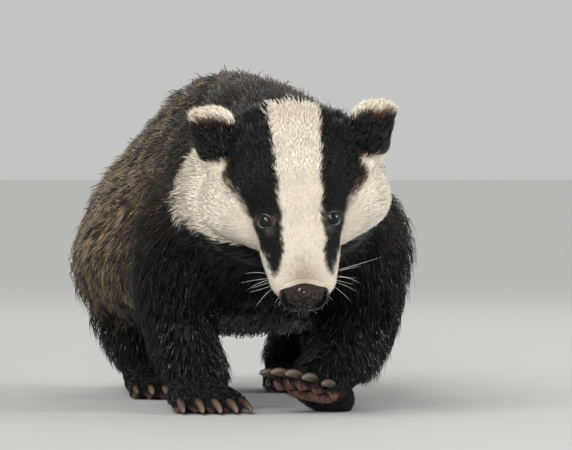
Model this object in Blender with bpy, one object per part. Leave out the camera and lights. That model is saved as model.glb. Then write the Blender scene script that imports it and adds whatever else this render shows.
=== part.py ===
"""A European badger as a still, life-size model, walking with its head low.

Metres, +Z up, the nose towards -Y. Sizes in the tables are millimetres, turned to metres by mm().
"""

import math
import random

import bmesh
import bpy
from mathutils import Euler, Matrix, Vector
from mathutils.bvhtree import BVHTree

# Driving dimensions, in millimetres and degrees
EYE_MIDPOINT = (-5, -265, 149)
HEAD_PITCH, HEAD_YAW, HEAD_ROLL = 38, -5.4, -2.4
EYE_RADIUS, EYE_SINK = 7.0, 4.3
NECK_BASE_Y = -118
TAIL_BASE = (0, 402, 176)
SEAM = 0.35
COAT_DEPTH, TAIL_COAT_DEPTH = 11.0, 8.0
LOCK_SEED, LOCK_TRIANGLES = 7, 62
SURFACE_GRAIN, HEAD_GRAIN = 3.2, 1.9

# The torso's outline: distance along the body, back height, belly height, half widths of
# flank and ridge
TORSO_STATIONS = (
    (-105, 245, 78, 94, 60),
    (-40, 254, 62, 104, 66),
    (60, 261, 53, 117, 66),
    (160, 266, 52, 127, 64),
    (245, 263, 58, 127, 62),
    (315, 246, 75, 112, 56),
    (362, 218, 102, 83, 42),
)
STATION_DEPTH = 42

# The neck behind the head, and the tail, from front to back: centre, radii
NECK_STATIONS = (
    [((-2, -150, 168), (84, 45, 68))],
    [((-4, -188, 170), (78, 40, 63))],
)
TAIL_STATIONS = (
    [((0, 372, 186), (27, 26, 26))],
    [((0, 425, 168), (26, 26, 25))],
    [((0, 466, 140), (27, 25, 25))],
    [((0, 496, 104), (22, 20, 22))],
    [((0, 510, 74), (12, 11, 12))],
)

# Planes that part the trunk: a point, and the direction of the nearer end
HEAD_PLANE = ((0, -196, 165), (0, -math.cos(0.42), -math.sin(0.42)))
NECK_PLANE = ((0, NECK_BASE_Y, 150), (0, -1, 0))
TAIL_PLANE = (TAIL_BASE, (0, -math.cos(0.3), math.sin(0.3)))

# Shares of a lock's length, depths under the outline as shares of the coat's, half widths and
# half thicknesses as shares of the lock's own
LOCK_RINGS = (
    (0.00, 1.60, 0.66, 1.0),
    (0.25, 0.85, 1.00, 1.0),
    (0.52, 0.50, 0.86, 0.9),
    (0.80, 0.20, 0.46, 0.6),
    (1.00, -0.12, 0.0, 0.0),
)
# Where the locks of each row stand round the body, in degrees from straight up
TORSO_ANGLES = ((0, 34, -34, 66, -66, 98, -98), (17, -17, 50, -50, 82, -82, 112, -112))
NECK_ANGLES = ((0, 34, -34, 70, -70), (17, -17, 52, -52, 90, -90))
TAIL_ANGLES = ((0, 90, 180, 270), (45, 135, 225, 315))

# Each leg from the shoulder or hip down, where its paw stands, and the paw's and claws' sizes
LEGS = {
    "foreleg_right": {
        "chain": (
            ((-62, -88, 124), (39, 50, 54)),
            ((-70, -64, 94), (32, 38, 40)),
            ((-67, -86, 60), (27, 29, 29)),
            ((-62, -106, 32), (23, 24, 22)),
            ((-60, -118, 16), (23, 23, 15)),
        ),
        "paw": {"x": -60, "y": -128, "z": 0, "yaw": 6},
        "size": {"length": 62, "half_width": 27, "toe_radius": 6.5},
        "claw": 26,
    },
    "foreleg_left": {
        "chain": (
            ((64, -92, 124), (39, 50, 54)),
            ((68, -70, 72), (32, 38, 38)),
            ((53, -104, 45), (26, 29, 25)),
            ((38, -130, 30), (21, 22, 20)),
            ((32, -137, 18), (20, 20, 14)),
        ),
        "paw": {"x": 26, "y": -144, "z": 5, "yaw": -34, "pitch": 21, "roll": 8},
        "size": {"length": 62, "half_width": 27, "toe_radius": 6.5},
        "claw": 26,
    },
    "hindleg_right": {
        "chain": (
            ((-54, 258, 124), (44, 54, 50)),
            ((-83, 190, 90), (31, 38, 38)),
            ((-76, 186, 58), (26, 28, 28)),
            ((-67, 192, 31), (19, 20, 20)),
            ((-64, 180, 16), (20, 22, 15)),
        ),
        "paw": {"x": -63, "y": 150, "z": 0, "yaw": 4},
        "size": {"length": 68, "half_width": 24, "toe_radius": 5.8},
        "claw": 14,
    },
    "hindleg_left": {
        "chain": (
            ((54, 286, 124), (44, 54, 50)),
            ((83, 236, 92), (33, 38, 40)),
            ((76, 286, 60), (26, 29, 29)),
            ((70, 318, 32), (19, 20, 20)),
            ((68, 306, 16), (20, 22, 15)),
        ),
        "paw": {"x": 66, "y": 276, "z": 0, "yaw": -4},
        "size": {"length": 68, "half_width": 24, "toe_radius": 5.8},
        "claw": 14,
    },
}

# Masses of the head about the midpoint of the eyes, in its own unturned frame: centre, radii
NOSE_END = ((0, -51.5, -19.5), (25, 13, 16.5))
CHIN = ((0, -46.5, -37.5), (15, 12, 9))
MUZZLE = ((0, -26, -17), (29.5, 19, 22))
JAW = ((0, -13, -37), (22, 18, 13))
BROW = ((0, 4, -6), (33.2, 23, 22))
JAW_ROOT = ((0, 22, -40), (29, 22, 17))
CRANIUM = ((0, 50, 1), (50, 40, 35))
THROAT = ((0, 62, -30), (46, 40, 33))
CROWN = ((0, 84, 2), (60, 34, 41))
CHEEK, CHEEK_FRONT = ((37, 46, -20), (37, 32, 31)), ((25, 12, -22), (14, 15, 15))

# The nose and one of its sides, in the same frame
NOSE_PAD, NOSE_BELOW = ((0, -61.5, -20.5), (13.5, 9, 7.8)), ((0, -58, -35), (8, 6.5, 6.5))
NOSE_WING, LOW_WING = ((11, -60, -22.3), (7.2, 8.5, 8.2)), ((8.5, -60, -30), (7.4, 7.6, 7.6))
NOSTRIL = (
    ((15.8, -65.5, -18.5), (1.1, 3.6, 1.8)),
    ((14.6, -68, -24.5), (1.8, 4.6, 2.6)),
    ((10.6, -69.5, -29.5), (3.2, 4.8, 2.6)),
)
LIP_GROOVE = (((0, -72.5, -22), (0.6, 3, 2)), ((0, -68.5, -41), (0.7, 3, 3)))

# The left ear: its root on the head, its turn in degrees, and the masses of its own frame
EAR_ROOT, EAR_TURN = (59, 66, 37), (-22, 5, 10)
EAR_MASSES = (((0, 4, -9), (20, 12, 12)), ((0, 0, 3), (20, 6.8, 14)))
EAR_CUP = (((0, -10, -5), (9.5, 7, 8)), ((0, -10, 1), (12, 7, 9)))


def mm(x, y, z):
    """A point or a set of sizes given in millimetres, in metres."""
    return Vector((x, y, z)) / 1000


def head_matrix():
    """Takes a point of the unturned head to its place on the lowered head."""
    turn = (
        Matrix.Rotation(math.radians(HEAD_YAW), 4, "Z")
        @ Matrix.Rotation(math.radians(HEAD_ROLL), 4, "Y")
        @ Matrix.Rotation(math.radians(HEAD_PITCH), 4, "X")
    )
    return Matrix.Translation(mm(*EYE_MIDPOINT)) @ turn


def mirrored(ball):
    """The same mass on the other side of the middle plane."""
    (x, y, z), radii = ball
    return (-x, y, z), radii


def material(name, colour, roughness):
    """A Principled BSDF with one colour and roughness."""
    made = bpy.data.materials.new(name)
    made.use_nodes = True
    shader = made.node_tree.nodes["Principled BSDF"]
    shader.inputs["Base Color"].default_value = (*colour, 1)
    shader.inputs["Roughness"].default_value = roughness
    return made


def mesh_object(name, bm):
    """A new object in the scene that holds this bmesh."""
    mesh = bpy.data.meshes.new(name)
    bm.to_mesh(mesh)
    bm.free()
    made = bpy.data.objects.new(name, mesh)
    bpy.context.scene.collection.objects.link(made)
    return made


def bmesh_of(obj):
    """A bmesh copy of the object's mesh."""
    bm = bmesh.new()
    bm.from_mesh(obj.data)
    return bm


def apply_modifier(obj, kind, **settings):
    """Adds one modifier and makes its result the object's mesh."""
    modifier = obj.modifiers.new(kind.title(), kind)
    for key, value in settings.items():
        setattr(modifier, key, value)
    graph = bpy.context.evaluated_depsgraph_get()
    mesh = bpy.data.meshes.new_from_object(obj.evaluated_get(graph))
    obj.modifiers.clear()
    obj.data = mesh


def tree_of(obj):
    """A search tree over the object's faces."""
    bm = bmesh_of(obj)
    tree = BVHTree.FromBMesh(bm)
    bm.free()
    return tree


def hulled(target, balls, place=Matrix.Identity(4)):
    """Adds the convex hull of some ellipsoids to the target bmesh."""
    bm = bmesh.new()
    for centre, radii in balls:
        shape = Matrix.LocRotScale(mm(*centre), None, mm(*radii))
        bmesh.ops.create_icosphere(bm, subdivisions=3, radius=1, matrix=place @ shape)
    bmesh.ops.delete(bm, geom=bm.edges[:] + bm.faces[:], context="EDGES_FACES")
    bmesh.ops.convex_hull(bm, input=bm.verts[:])
    bmesh.ops.delete(bm, geom=[v for v in bm.verts if not v.link_faces], context="VERTS")
    hull = bpy.data.meshes.new("hull")
    bm.to_mesh(hull)
    bm.free()
    target.from_mesh(hull)
    bpy.data.meshes.remove(hull)


def chain(target, stations, place=Matrix.Identity(4)):
    """Hulls each group of ellipsoids with the next one."""
    for first, second in zip(stations, stations[1:]):
        hulled(target, [*first, *second], place)


def clay(name, bm, grain, softening):
    """Fuses overlapping masses into one smooth closed skin of even faces."""
    made = mesh_object(name, bm)
    apply_modifier(made, "REMESH", mode="VOXEL", voxel_size=grain / 1000)
    apply_modifier(made, "SMOOTH", factor=0.5, iterations=softening)
    return made


def simplified(obj, triangles):
    """Thins the mesh to about this many triangles."""
    bm = bmesh_of(obj)
    bmesh.ops.triangulate(bm, faces=bm.faces[:])
    count = len(bm.faces)
    bm.to_mesh(obj.data)
    bm.free()
    if count > triangles:
        apply_modifier(obj, "DECIMATE", ratio=triangles / count)


def cut(obj, point, normal):
    """Removes what lies on the normal's side of a plane and closes the cut with a flat face."""
    bm = bmesh_of(obj)
    geometry = bm.verts[:] + bm.edges[:] + bm.faces[:]
    bmesh.ops.bisect_plane(
        bm, geom=geometry, dist=1e-7, plane_co=point, plane_no=normal, clear_outer=True
    )
    bmesh.ops.holes_fill(bm, edges=[e for e in bm.edges if e.is_boundary])
    bmesh.ops.triangulate(bm, faces=[f for f in bm.faces if len(f.verts) > 3])
    bm.to_mesh(obj.data)
    bm.free()


def copy_of(obj, name):
    """An object of its own with a copy of the mesh."""
    made = bpy.data.objects.new(name, obj.data.copy())
    bpy.context.scene.collection.objects.link(made)
    return made


def grown(obj, distance):
    """A copy whose surface lies this many millimetres further out."""
    made = copy_of(obj, obj.name + "_grown")
    bm = bmesh_of(made)
    bm.normal_update()
    moves = [v.normal * distance / 1000 for v in bm.verts]
    for vertex, move in zip(bm.verts, moves):
        vertex.co += move
    bm.to_mesh(made.data)
    bm.free()
    return made


def volume_of(bm, faces):
    """Signed volume under these triangles."""
    return sum(f.verts[0].co.dot(f.verts[1].co.cross(f.verts[2].co)) for f in faces) / 6


def keep_largest(obj):
    """Keeps the largest closed surface and drops loose scraps and sealed hollows."""
    bm = bmesh_of(obj)
    bmesh.ops.triangulate(bm, faces=bm.faces[:])
    left, shells = set(bm.faces), []
    while left:
        shell, border = set(), {left.pop()}
        while border:
            shell |= border
            border = {n for f in border for e in f.edges for n in e.link_faces} & left
            left -= border
        shells.append(shell)
    best = max(shells, key=lambda shell: volume_of(bm, shell))
    bmesh.ops.delete(bm, geom=[f for f in bm.faces if f not in best], context="FACES")
    bm.to_mesh(obj.data)
    bm.free()


def combine(obj, others, operation):
    """One Boolean with a collection of closed objects, which are then removed."""
    group = bpy.data.collections.new(obj.name + "_pieces")
    for other in others:
        group.objects.link(other)
    bpy.context.scene.collection.children.link(group)
    bpy.context.view_layer.update()
    apply_modifier(
        obj, "BOOLEAN", operation=operation, operand_type="COLLECTION", collection=group,
        solver="MANIFOLD",
    )
    for other in others:
        bpy.data.objects.remove(other)
    bpy.data.collections.remove(group)
    keep_largest(obj)


def carve(obj, others, gap=SEAM):
    """Cuts the object clear of its neighbours by a small gap, and leaves the neighbours whole."""
    for other in others:
        combine(obj, [grown(other, gap)], "DIFFERENCE")


def finish(obj, finish_material):
    """Gives the node its material and smooth shading with crisp edges kept."""
    obj.data.materials.clear()
    obj.data.materials.append(finish_material)
    obj.data.shade_smooth()
    obj.data.set_sharp_from_angle(angle=math.radians(50))
    return obj


def tapered(name, path, widths, depths, across, sides):
    """A closed tapered strip along a path that ends in a point.

    Each ring is an ellipse of half width and half depth, its width along the across direction.
    """
    bm = bmesh.new()
    loops = []
    for index, (point, width, depth) in enumerate(zip(path, widths, depths)):
        ahead = path[min(index + 1, len(path) - 1)] - path[max(index - 1, 0)]
        along = ahead.normalized()
        side = (across - across.dot(along) * along).normalized()
        frame = Matrix((side, along.cross(side), along)).transposed().to_4x4()
        shape = Matrix.Translation(point) @ frame @ Matrix.Diagonal((width, depth, 1, 1))
        ring = bmesh.ops.create_circle(bm, segments=sides, radius=1, matrix=shape)["verts"]
        loops.append(ring)
    for first, second in zip(loops, loops[1:]):
        edges = {e for v in (*first, *second) for e in v.link_edges}
        around = [e for e in edges if {*e.verts} <= {*first} or {*e.verts} <= {*second}]
        bmesh.ops.bridge_loops(bm, edges=around)
    bmesh.ops.contextual_create(bm, geom=loops[0])
    bmesh.ops.pointmerge(bm, verts=loops[-1], merge_co=path[-1])
    bmesh.ops.recalc_face_normals(bm, faces=bm.faces[:])
    bmesh.ops.triangulate(bm, faces=bm.faces[:])
    return mesh_object(name, bm)


# Torso, neck and tail outline


def torso_station(y, back, belly, half_width, ridge):
    """Wide low flanks, a narrower band above them and a ridge under the back."""
    height = back - belly
    return [
        ((0, y, belly + 0.26 * height), (half_width, STATION_DEPTH, 0.26 * height)),
        ((0, y, belly + 0.47 * height), (0.87 * half_width, STATION_DEPTH, 0.24 * height)),
        ((0, y, belly + 0.65 * height), (ridge, STATION_DEPTH, 0.35 * height)),
    ]


def head_masses(bm):
    """The skull, jaw and cheek masses of the lowered head."""
    place = head_matrix()
    face = ([NOSE_END, CHIN], [MUZZLE, JAW], [BROW, JAW_ROOT])
    chain(bm, (*face, [CRANIUM, THROAT], [CROWN, THROAT]), place)
    for cheek, front in ((CHEEK, CHEEK_FRONT), (mirrored(CHEEK), mirrored(CHEEK_FRONT))):
        hulled(bm, [cheek, front, CRANIUM], place)
        hulled(bm, [cheek, THROAT, JAW_ROOT], place)
        hulled(bm, [front, BROW, JAW_ROOT], place)


def trunk_outline():
    """Head, neck, torso and tail as one skin out to the tips of the coat."""
    bm = bmesh.new()
    head_masses(bm)
    torso = [torso_station(*station) for station in TORSO_STATIONS]
    chain(bm, [*NECK_STATIONS[::-1], torso[0]])
    chain(bm, torso)
    chain(bm, TAIL_STATIONS)
    back_of_head = [(tuple(head_matrix() @ mm(*c) * 1000), r) for c, r in (CROWN, THROAT)]
    chain(bm, [back_of_head, NECK_STATIONS[1]])
    return clay("trunk", bm, SURFACE_GRAIN, 14)


def head_outline():
    """The head again in a finer grain, with enough neck to be cut."""
    bm = bmesh.new()
    head_masses(bm)
    back_of_head = [(tuple(head_matrix() @ mm(*c) * 1000), r) for c, r in (CROWN, THROAT)]
    chain(bm, [back_of_head, *NECK_STATIONS[::-1]])
    return clay("head_outline", bm, HEAD_GRAIN, 14)


def coat_depth(point, normal):
    """Depth of the long coat in millimetres: none on the face and the belly, less on the tail."""
    bare = 1 - smooth_step(-0.85, -0.35, normal.z)
    face = smooth_step(-0.150, -0.190, point.y)
    tail = smooth_step(0.390, 0.430, point.y)
    full = COAT_DEPTH + (TAIL_COAT_DEPTH - COAT_DEPTH) * tail
    seams = [abs(point.y - seam / 1000) for seam in (NECK_BASE_Y, TAIL_BASE[1])]
    thinned = 1 - 0.6 * (1 - smooth_step(0.006, 0.034, min(seams)))
    return full * thinned * (1 - face) * (1 - bare * (1 - tail))


def smooth_step(low, high, value):
    """Runs smoothly from 0 at low to 1 at high."""
    share = min(max((value - low) / (high - low), 0), 1)
    return share * share * (3 - 2 * share)


def coat_core(outline):
    """The solid body under the long coat."""
    made = copy_of(outline, "core")
    bm = bmesh_of(made)
    bm.normal_update()
    moves = [v.normal * coat_depth(v.co, v.normal) / 1000 for v in bm.verts]
    for vertex, move in zip(bm.verts, moves):
        vertex.co -= move
    bmesh.ops.smooth_vert(
        bm, verts=bm.verts[:], factor=0.5, use_axis_x=True, use_axis_y=True, use_axis_z=True
    )
    bm.to_mesh(made.data)
    bm.free()
    return made


def parted(made, front, back, margin):
    """Cuts off what lies in front of one plane and behind another, this many millimetres out."""
    for plane, sign in ((front, 1), (back, -1)):
        if plane:
            point, ahead = mm(*plane[0]), Vector(plane[1])
            cut(made, point + sign * ahead * margin / 1000, sign * ahead)


def between(source, name, front, back, triangles):
    """The part of the trunk behind one plane and in front of another, thinned and a little long."""
    made = copy_of(source, name)
    parted(made, front, back, 12)
    simplified(made, triangles)
    return made


def coated(made, front, back, locks, limbs):
    """Joins the locks to a length of the trunk, clears the legs and cuts both ends flat."""
    triangles = len(made.data.polygons) + LOCK_TRIANGLES * len(locks)
    combine(made, locks, "UNION")
    carve(made, limbs, 2 * SEAM)
    simplified(made, triangles)
    parted(made, front, back, -SEAM / 2)
    carve(made, limbs)
    keep_largest(made)


# Locks of the long coat


def combed(tree, start, lie, length, steps=12):
    """Points and normals along the surface from a start, following the lie of the coat."""
    point, normal, _, _ = tree.find_nearest(start)
    found = [(point, normal)]
    for _ in range(steps):
        ahead = lie(point)
        ahead = (ahead - ahead.dot(normal) * normal).normalized()
        point, normal, _, _ = tree.find_nearest(point + ahead * length / steps)
        found.append((point, normal))
    return found


def lock(tree, start, lie, length, half_width, half_depth, coat):
    """One flat tapered lock, rooted in the core and running out to its tip on the outline."""
    trail = combed(tree, start, lie, length)
    path = []
    for share, under, _, _ in LOCK_RINGS:
        point, normal = trail[round(share * (len(trail) - 1))]
        path.append(point - normal * under * coat)
    root, tip = trail[0], trail[-1]
    across = (root[1] + tip[1]).cross(tip[0] - root[0]).normalized()
    widths = [half_width * ring[2] for ring in LOCK_RINGS]
    depths = [half_depth * ring[3] for ring in LOCK_RINGS]
    return tapered("lock", path, widths, depths, across, sides=3)


def body_lie(point):
    """Which way the coat of trunk and neck runs: back along the body and down the flanks."""
    low = 1 - smooth_step(0.075, 0.200, point.z)
    return Vector((0, 1, -0.12 - 0.75 * low))


def tail_lie(point):
    """The coat of the tail runs to its tip."""
    return Vector((0, 0.62, -0.78)) if point.y > 0.45 else Vector((0, 0.9, -0.4))


def rows_of_locks(tree, chance, rows, angles, lie, length, half_width, half_depth, coat):
    """Overlapping rows of locks round an axis, each row set between the last one's locks.

    Each row is the axis point in millimetres; the angles run from straight up, in degrees.
    """
    made = []
    for index, (y, z) in enumerate(rows):
        for angle in angles[index % len(angles)]:
            turn = math.radians(angle + chance.uniform(-4, 4))
            axis = mm(0, y + chance.uniform(-6, 6), z)
            start, _, _, _ = tree.ray_cast(axis, Vector((math.sin(turn), 0, math.cos(turn))))
            reach = length * chance.uniform(0.88, 1.15) / 1000
            width = half_width * chance.uniform(0.88, 1.12) / 1000
            made.append(lock(tree, start, lie, reach, width, half_depth / 1000, coat / 1000))
    return made


# Legs


def toe_place(toe, length, half_width):
    """Sideways and forward place of a toe's tip, counted from -2 to 2 across the paw."""
    return toe * 0.43 * half_width, -0.62 * length + 2.6 * toe * toe


def paw_masses(bm, place, length, half_width, toe_radius):
    """Palm and five toes of one paw in its own frame, the toes towards -Y and the sole at z 0."""
    heel = ((0, 14, 12), (0.8 * half_width, 18, 12))
    hulled(bm, [((0, 0, 13), (half_width, 0.34 * length, 13)), heel], place)
    pad = ((0.36 * half_width, -13, 4), (0.36 * half_width, 9, 5.5))
    hulled(bm, [pad, mirrored(pad)], place)
    for toe in range(-2, 3):
        spread, reach = toe_place(toe, length, half_width)
        knuckle = ((0.8 * spread, -12, 12), (toe_radius, 10, 9))
        hulled(bm, [knuckle, ((spread, reach, 8), (toe_radius - 0.4, 8.5, 8))], place)
        hulled(bm, [((spread, reach + 3, 4.5), (0.72 * toe_radius, 7, 6))], place)


def paw_frame(x, y, z, yaw, pitch=0, roll=0):
    """Where a paw stands and how it is turned, in degrees."""
    turn = Euler((math.radians(-pitch), math.radians(roll), math.radians(yaw)), "XYZ")
    return Matrix.Translation(mm(x, y, z)) @ turn.to_matrix().to_4x4()


def leg(name, spec):
    """One leg with its paw, flat where it stands on the floor."""
    bm = bmesh.new()
    chain(bm, [[ball] for ball in spec["chain"]])
    paw_masses(bm, paw_frame(**spec["paw"]), **spec["size"])
    made = clay(name, bm, 2.1, 5)
    simplified(made, 860)
    cut(made, mm(0, 0, 0.9), Vector((0, 0, -1)))
    keep_largest(made)
    return made


def claws(name, spec, leg_object, horn):
    """Five curved claws, each rooted against its toe."""
    place = paw_frame(**spec["paw"])
    size = spec["size"]
    length = spec["claw"] / 1000
    for toe in range(-2, 3):
        root = mm(*toe_place(toe, size["length"], size["half_width"]), 10)
        ahead = Vector((0.05 * toe, -1, 0)).normalized()
        path = []
        for step in (0, 0.45, 0.8, 1):
            reach, drop = 1.32 * math.sin(step), 0.62 * (1 - math.cos(step))
            path.append(root + (ahead * reach - Vector((0, 0, drop))) * length)
        widths = [w / 1000 for w in (2.9, 2.6, 1.6, 0.3)]
        depths = [w / 1000 for w in (3.5, 3.1, 1.9, 0.3)]
        claw = tapered(f"claw_{name}_{toe + 3}", path, widths, depths, Vector((1, 0, 0)), sides=6)
        claw.data.transform(place)
        carve(claw, [leg_object])
        finish(claw, horn)


# Details of the head


def eye_places(tree):
    """Centre and outward direction of each eyeball, sunk into the brow."""
    place = head_matrix()
    found = []
    for side in (-1, 1):
        aim = place @ mm(side * 28.2, -9, 6)
        point, normal, _, _ = tree.find_nearest(aim)
        outward = (place.to_3x3() @ Vector((side * 0.62, -0.74, 0.27))).normalized()
        outward = (outward + normal).normalized()
        found.append((point - outward * EYE_SINK / 1000, outward))
    return found


def ball_object(name, centre, radius, detail):
    """A plain sphere, given in metres."""
    bm = bmesh.new()
    place = Matrix.Translation(centre)
    bmesh.ops.create_icosphere(bm, subdivisions=detail, radius=radius, matrix=place)
    return mesh_object(name, bm)


def tube(name, points, radius, ring=False):
    """A closed tube through these points, joined to a ring or capped at both ends."""
    path = bpy.data.curves.new(name, "CURVE")
    path.dimensions = "3D"
    line = path.splines.new("POLY")
    line.points.add(len(points) - 1)
    for index, point in enumerate(points):
        line.points[index].co = (*point, 1)
    line.use_cyclic_u = ring
    path.bevel_depth = radius / 1000
    path.bevel_resolution = 1
    path.use_fill_caps = True
    made = bpy.data.objects.new(name, path)
    bpy.context.scene.collection.objects.link(made)
    graph = bpy.context.evaluated_depsgraph_get()
    mesh = bpy.data.meshes.new_from_object(made.evaluated_get(graph))
    bpy.data.objects.remove(made)
    solid = bpy.data.objects.new(name, mesh)
    bpy.context.scene.collection.objects.link(solid)
    bm = bmesh_of(solid)
    bmesh.ops.remove_doubles(bm, verts=bm.verts[:], dist=1e-6)
    bmesh.ops.recalc_face_normals(bm, faces=bm.faces[:])
    bm.to_mesh(solid.data)
    bm.free()
    return solid


def lid_ring(centre, outward, index):
    """The rim of the lids round one eye, drawn into points at its corners."""
    forward = (head_matrix().to_3x3() @ Vector((0, -1, -0.25))).normalized()
    along = (forward - forward.dot(outward) * outward).normalized()
    up = outward.cross(along)
    points = []
    for step in range(18):
        angle = 2 * math.pi * step / 18
        corner = abs(math.cos(angle)) ** 3
        offset = along * math.cos(angle) * (6.6 + 1.5 * corner) + up * math.sin(angle) * 6.1
        offset += outward * (EYE_SINK - 0.6 - 1.4 * corner)
        points.append(centre + offset / 1000)
    return tube(f"lid_{index}", points, 1.5, ring=True)


def mouth_line(tree, lift, drop):
    """Points of the closed mouth on the head's surface, from one corner round to the other."""
    place = head_matrix()
    points = []
    for step in range(-6, 7):
        share = step / 6
        side = math.sin(share * math.pi / 2)
        y = -67 + 63 * abs(share) ** 1.7
        aim = place @ mm(side * 34, y, -38 - 3 * abs(share) + drop)
        point, normal, _, _ = tree.find_nearest(aim)
        points.append(point + normal * lift / 1000)
    return points


def head_with_details(outline, nose):
    """The head with lids, lips and the line of the mouth, cut clear of the eyes and the nose."""
    made = between(outline, "head", None, HEAD_PLANE, 1700)
    parted(made, None, HEAD_PLANE, -SEAM / 2)
    tree = tree_of(outline)
    eyes = eye_places(tree)
    pieces = [lid_ring(centre, outward, i) for i, (centre, outward) in enumerate(eyes)]
    pieces += [
        tube("upper_lip", mouth_line(tree, -0.5, 2.4), 1.6),
        tube("lower_lip", mouth_line(tree, -0.6, -2.4), 1.5),
    ]
    combine(made, pieces, "UNION")
    simplified(made, 2000)
    sockets = [
        ball_object(f"socket_{i}", centre, (EYE_RADIUS + SEAM) / 1000, 3)
        for i, (centre, _) in enumerate(eyes)
    ]
    combine(made, sockets, "DIFFERENCE")
    combine(made, [tube("mouth_cut", mouth_line(tree, 0.3, 0), 1.1)], "DIFFERENCE")
    carve(made, [nose])
    return made, eyes


def hollow(name, balls, place):
    """A closed hull of a few triangles, to be cut out of a solid."""
    bm = bmesh.new()
    hulled(bm, balls, place)
    bmesh.ops.recalc_face_normals(bm, faces=bm.faces[:])
    made = mesh_object(name, bm)
    simplified(made, 44)
    return made


def nose_pad():
    """The leathery nose: a broad pad with wings, a lip groove and two comma-shaped nostrils."""
    place = head_matrix()
    bm = bmesh.new()
    wings = (NOSE_WING, mirrored(NOSE_WING))
    hulled(bm, [NOSE_PAD, *wings], place)
    hulled(bm, [*wings, LOW_WING, mirrored(LOW_WING), NOSE_BELOW], place)
    made = clay("nose", bm, 1.1, 4)
    simplified(made, 260)
    upper, middle, lower = NOSTRIL
    for balls in ((upper, middle), (middle, lower)):
        for sides in (balls, [mirrored(ball) for ball in balls]):
            combine(made, [hollow("nostril", sides, place)], "DIFFERENCE")
    combine(made, [hollow("lip_groove", LIP_GROOVE, place)], "DIFFERENCE")
    return made


def ear(side, head, neck):
    """A short round ear, cupped towards the front and rooted against the head."""
    name = "ear_left" if side > 0 else "ear_right"
    x, y, z = EAR_ROOT
    pitch, roll, yaw = (math.radians(angle) for angle in EAR_TURN)
    lean = Euler((pitch, side * roll, side * yaw)).to_matrix().to_4x4()
    place = head_matrix() @ Matrix.Translation(mm(side * x, y, z)) @ lean
    bm = bmesh.new()
    hulled(bm, EAR_MASSES, place)
    made = clay(name, bm, 1.3, 3)
    simplified(made, 240)
    bm = bmesh.new()
    hulled(bm, EAR_CUP, place)
    cup = mesh_object("ear_cup", bm)
    simplified(cup, 90)
    combine(made, [cup], "DIFFERENCE")
    carve(made, [head, neck])
    return made


def trunk_locks(outline):
    """The locks of the neck, the torso and the tail."""
    chance = random.Random(LOCK_SEED)
    tree = tree_of(outline)
    neck_rows = ((-178, 165), (-142, 160))
    torso_rows = [(y, 150) for y in range(-108, 350, 62)]
    tail_rows = ((418, 168, 66), (456, 148, 62), (486, 112, 46))
    neck = rows_of_locks(tree, chance, neck_rows, NECK_ANGLES, body_lie, 70, 22, 5, COAT_DEPTH)
    torso = rows_of_locks(tree, chance, torso_rows, TORSO_ANGLES, body_lie, 100, 28, 6, COAT_DEPTH)
    tail = []
    for row, (y, z, length) in enumerate(tail_rows):
        angles = TAIL_ANGLES[row % 2 : row % 2 + 1]
        tail += rows_of_locks(
            tree, chance, ((y, z),), angles, tail_lie, length, 15, 4.5, TAIL_COAT_DEPTH
        )
    return neck, torso, tail


def centre_on_floor():
    """Moves everything so that the model's box stands centred on the origin."""
    nodes = [o for o in bpy.context.scene.objects if o.type == "MESH"]
    corners = [v.co for o in nodes for v in o.data.vertices]
    low = Vector(min(c[i] for c in corners) for i in range(3))
    high = Vector(max(c[i] for c in corners) for i in range(3))
    middle = (low + high) / 2
    shift = Matrix.Translation((-middle.x, -middle.y, -low.z))
    for node in nodes:
        node.data.transform(shift)


def main():
    """Builds the nodes from the inside out and stands the model on the floor."""
    for obj in list(bpy.data.objects):
        bpy.data.objects.remove(obj)
    white_and_black = material("head_fur", (0.42, 0.39, 0.33), 0.8)
    grizzled = material("body_fur", (0.20, 0.17, 0.14), 0.85)
    black = material("leg_fur", (0.02, 0.018, 0.016), 0.75)
    leather = material("nose_leather", (0.035, 0.025, 0.022), 0.4)
    horn = material("claw_horn", (0.16, 0.11, 0.07), 0.45)
    cornea = material("eye", (0.01, 0.008, 0.006), 0.06)

    outline = trunk_outline()
    fine_head = head_outline()
    core = coat_core(outline)
    legs = {name: leg(name, spec) for name, spec in LEGS.items()}
    nose = nose_pad()
    head, eyes = head_with_details(fine_head, nose)
    for (centre, _), name in zip(eyes, ("eye_right", "eye_left")):
        finish(ball_object(name, centre, EYE_RADIUS / 1000, 3), cornea)

    neck = between(core, "neck", HEAD_PLANE, NECK_PLANE, 450)
    torso = between(core, "torso", NECK_PLANE, TAIL_PLANE, 1200)
    tail = between(core, "tail", TAIL_PLANE, None, 300)
    for limb in legs.values():
        carve(limb, [torso, neck])
    neck_locks, torso_locks, tail_locks = trunk_locks(outline)
    coated(neck, HEAD_PLANE, NECK_PLANE, neck_locks, legs.values())
    coated(torso, NECK_PLANE, TAIL_PLANE, torso_locks, legs.values())
    coated(tail, TAIL_PLANE, None, tail_locks, ())
    for side in (-1, 1):
        finish(ear(side, head, neck), white_and_black)
    for name, spec in LEGS.items():
        claws(name, spec, legs[name], horn)
        finish(legs[name], black)
    finish(head, white_and_black)
    finish(nose, leather)
    for node in (neck, torso, tail):
        finish(node, grizzled)
    for source in (outline, fine_head, core):
        bpy.data.objects.remove(source)
    centre_on_floor()


main()
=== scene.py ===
"""A European badger as a still, life-size museum model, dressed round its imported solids.

Lengths are millimetres in the maker's frame, where the nose points towards -Y, unless a name says
metres. One furred skin stands for all the solids of flesh. The coat is joined tufts of solid mesh,
rooted in that skin and laid along the body, and skin and coat read the same markings.
"""

import logging
import math
from dataclasses import dataclass, field
from enum import Enum

import bmesh
import bpy
import numpy as np
from bmesh.types import BMesh
from bpy.types import ID, Material, NodeSocket, Object, bpy_prop_collection
from mathutils import Euler, Matrix, Vector
from mathutils.bvhtree import BVHTree
from mathutils.kdtree import KDTree

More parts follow.
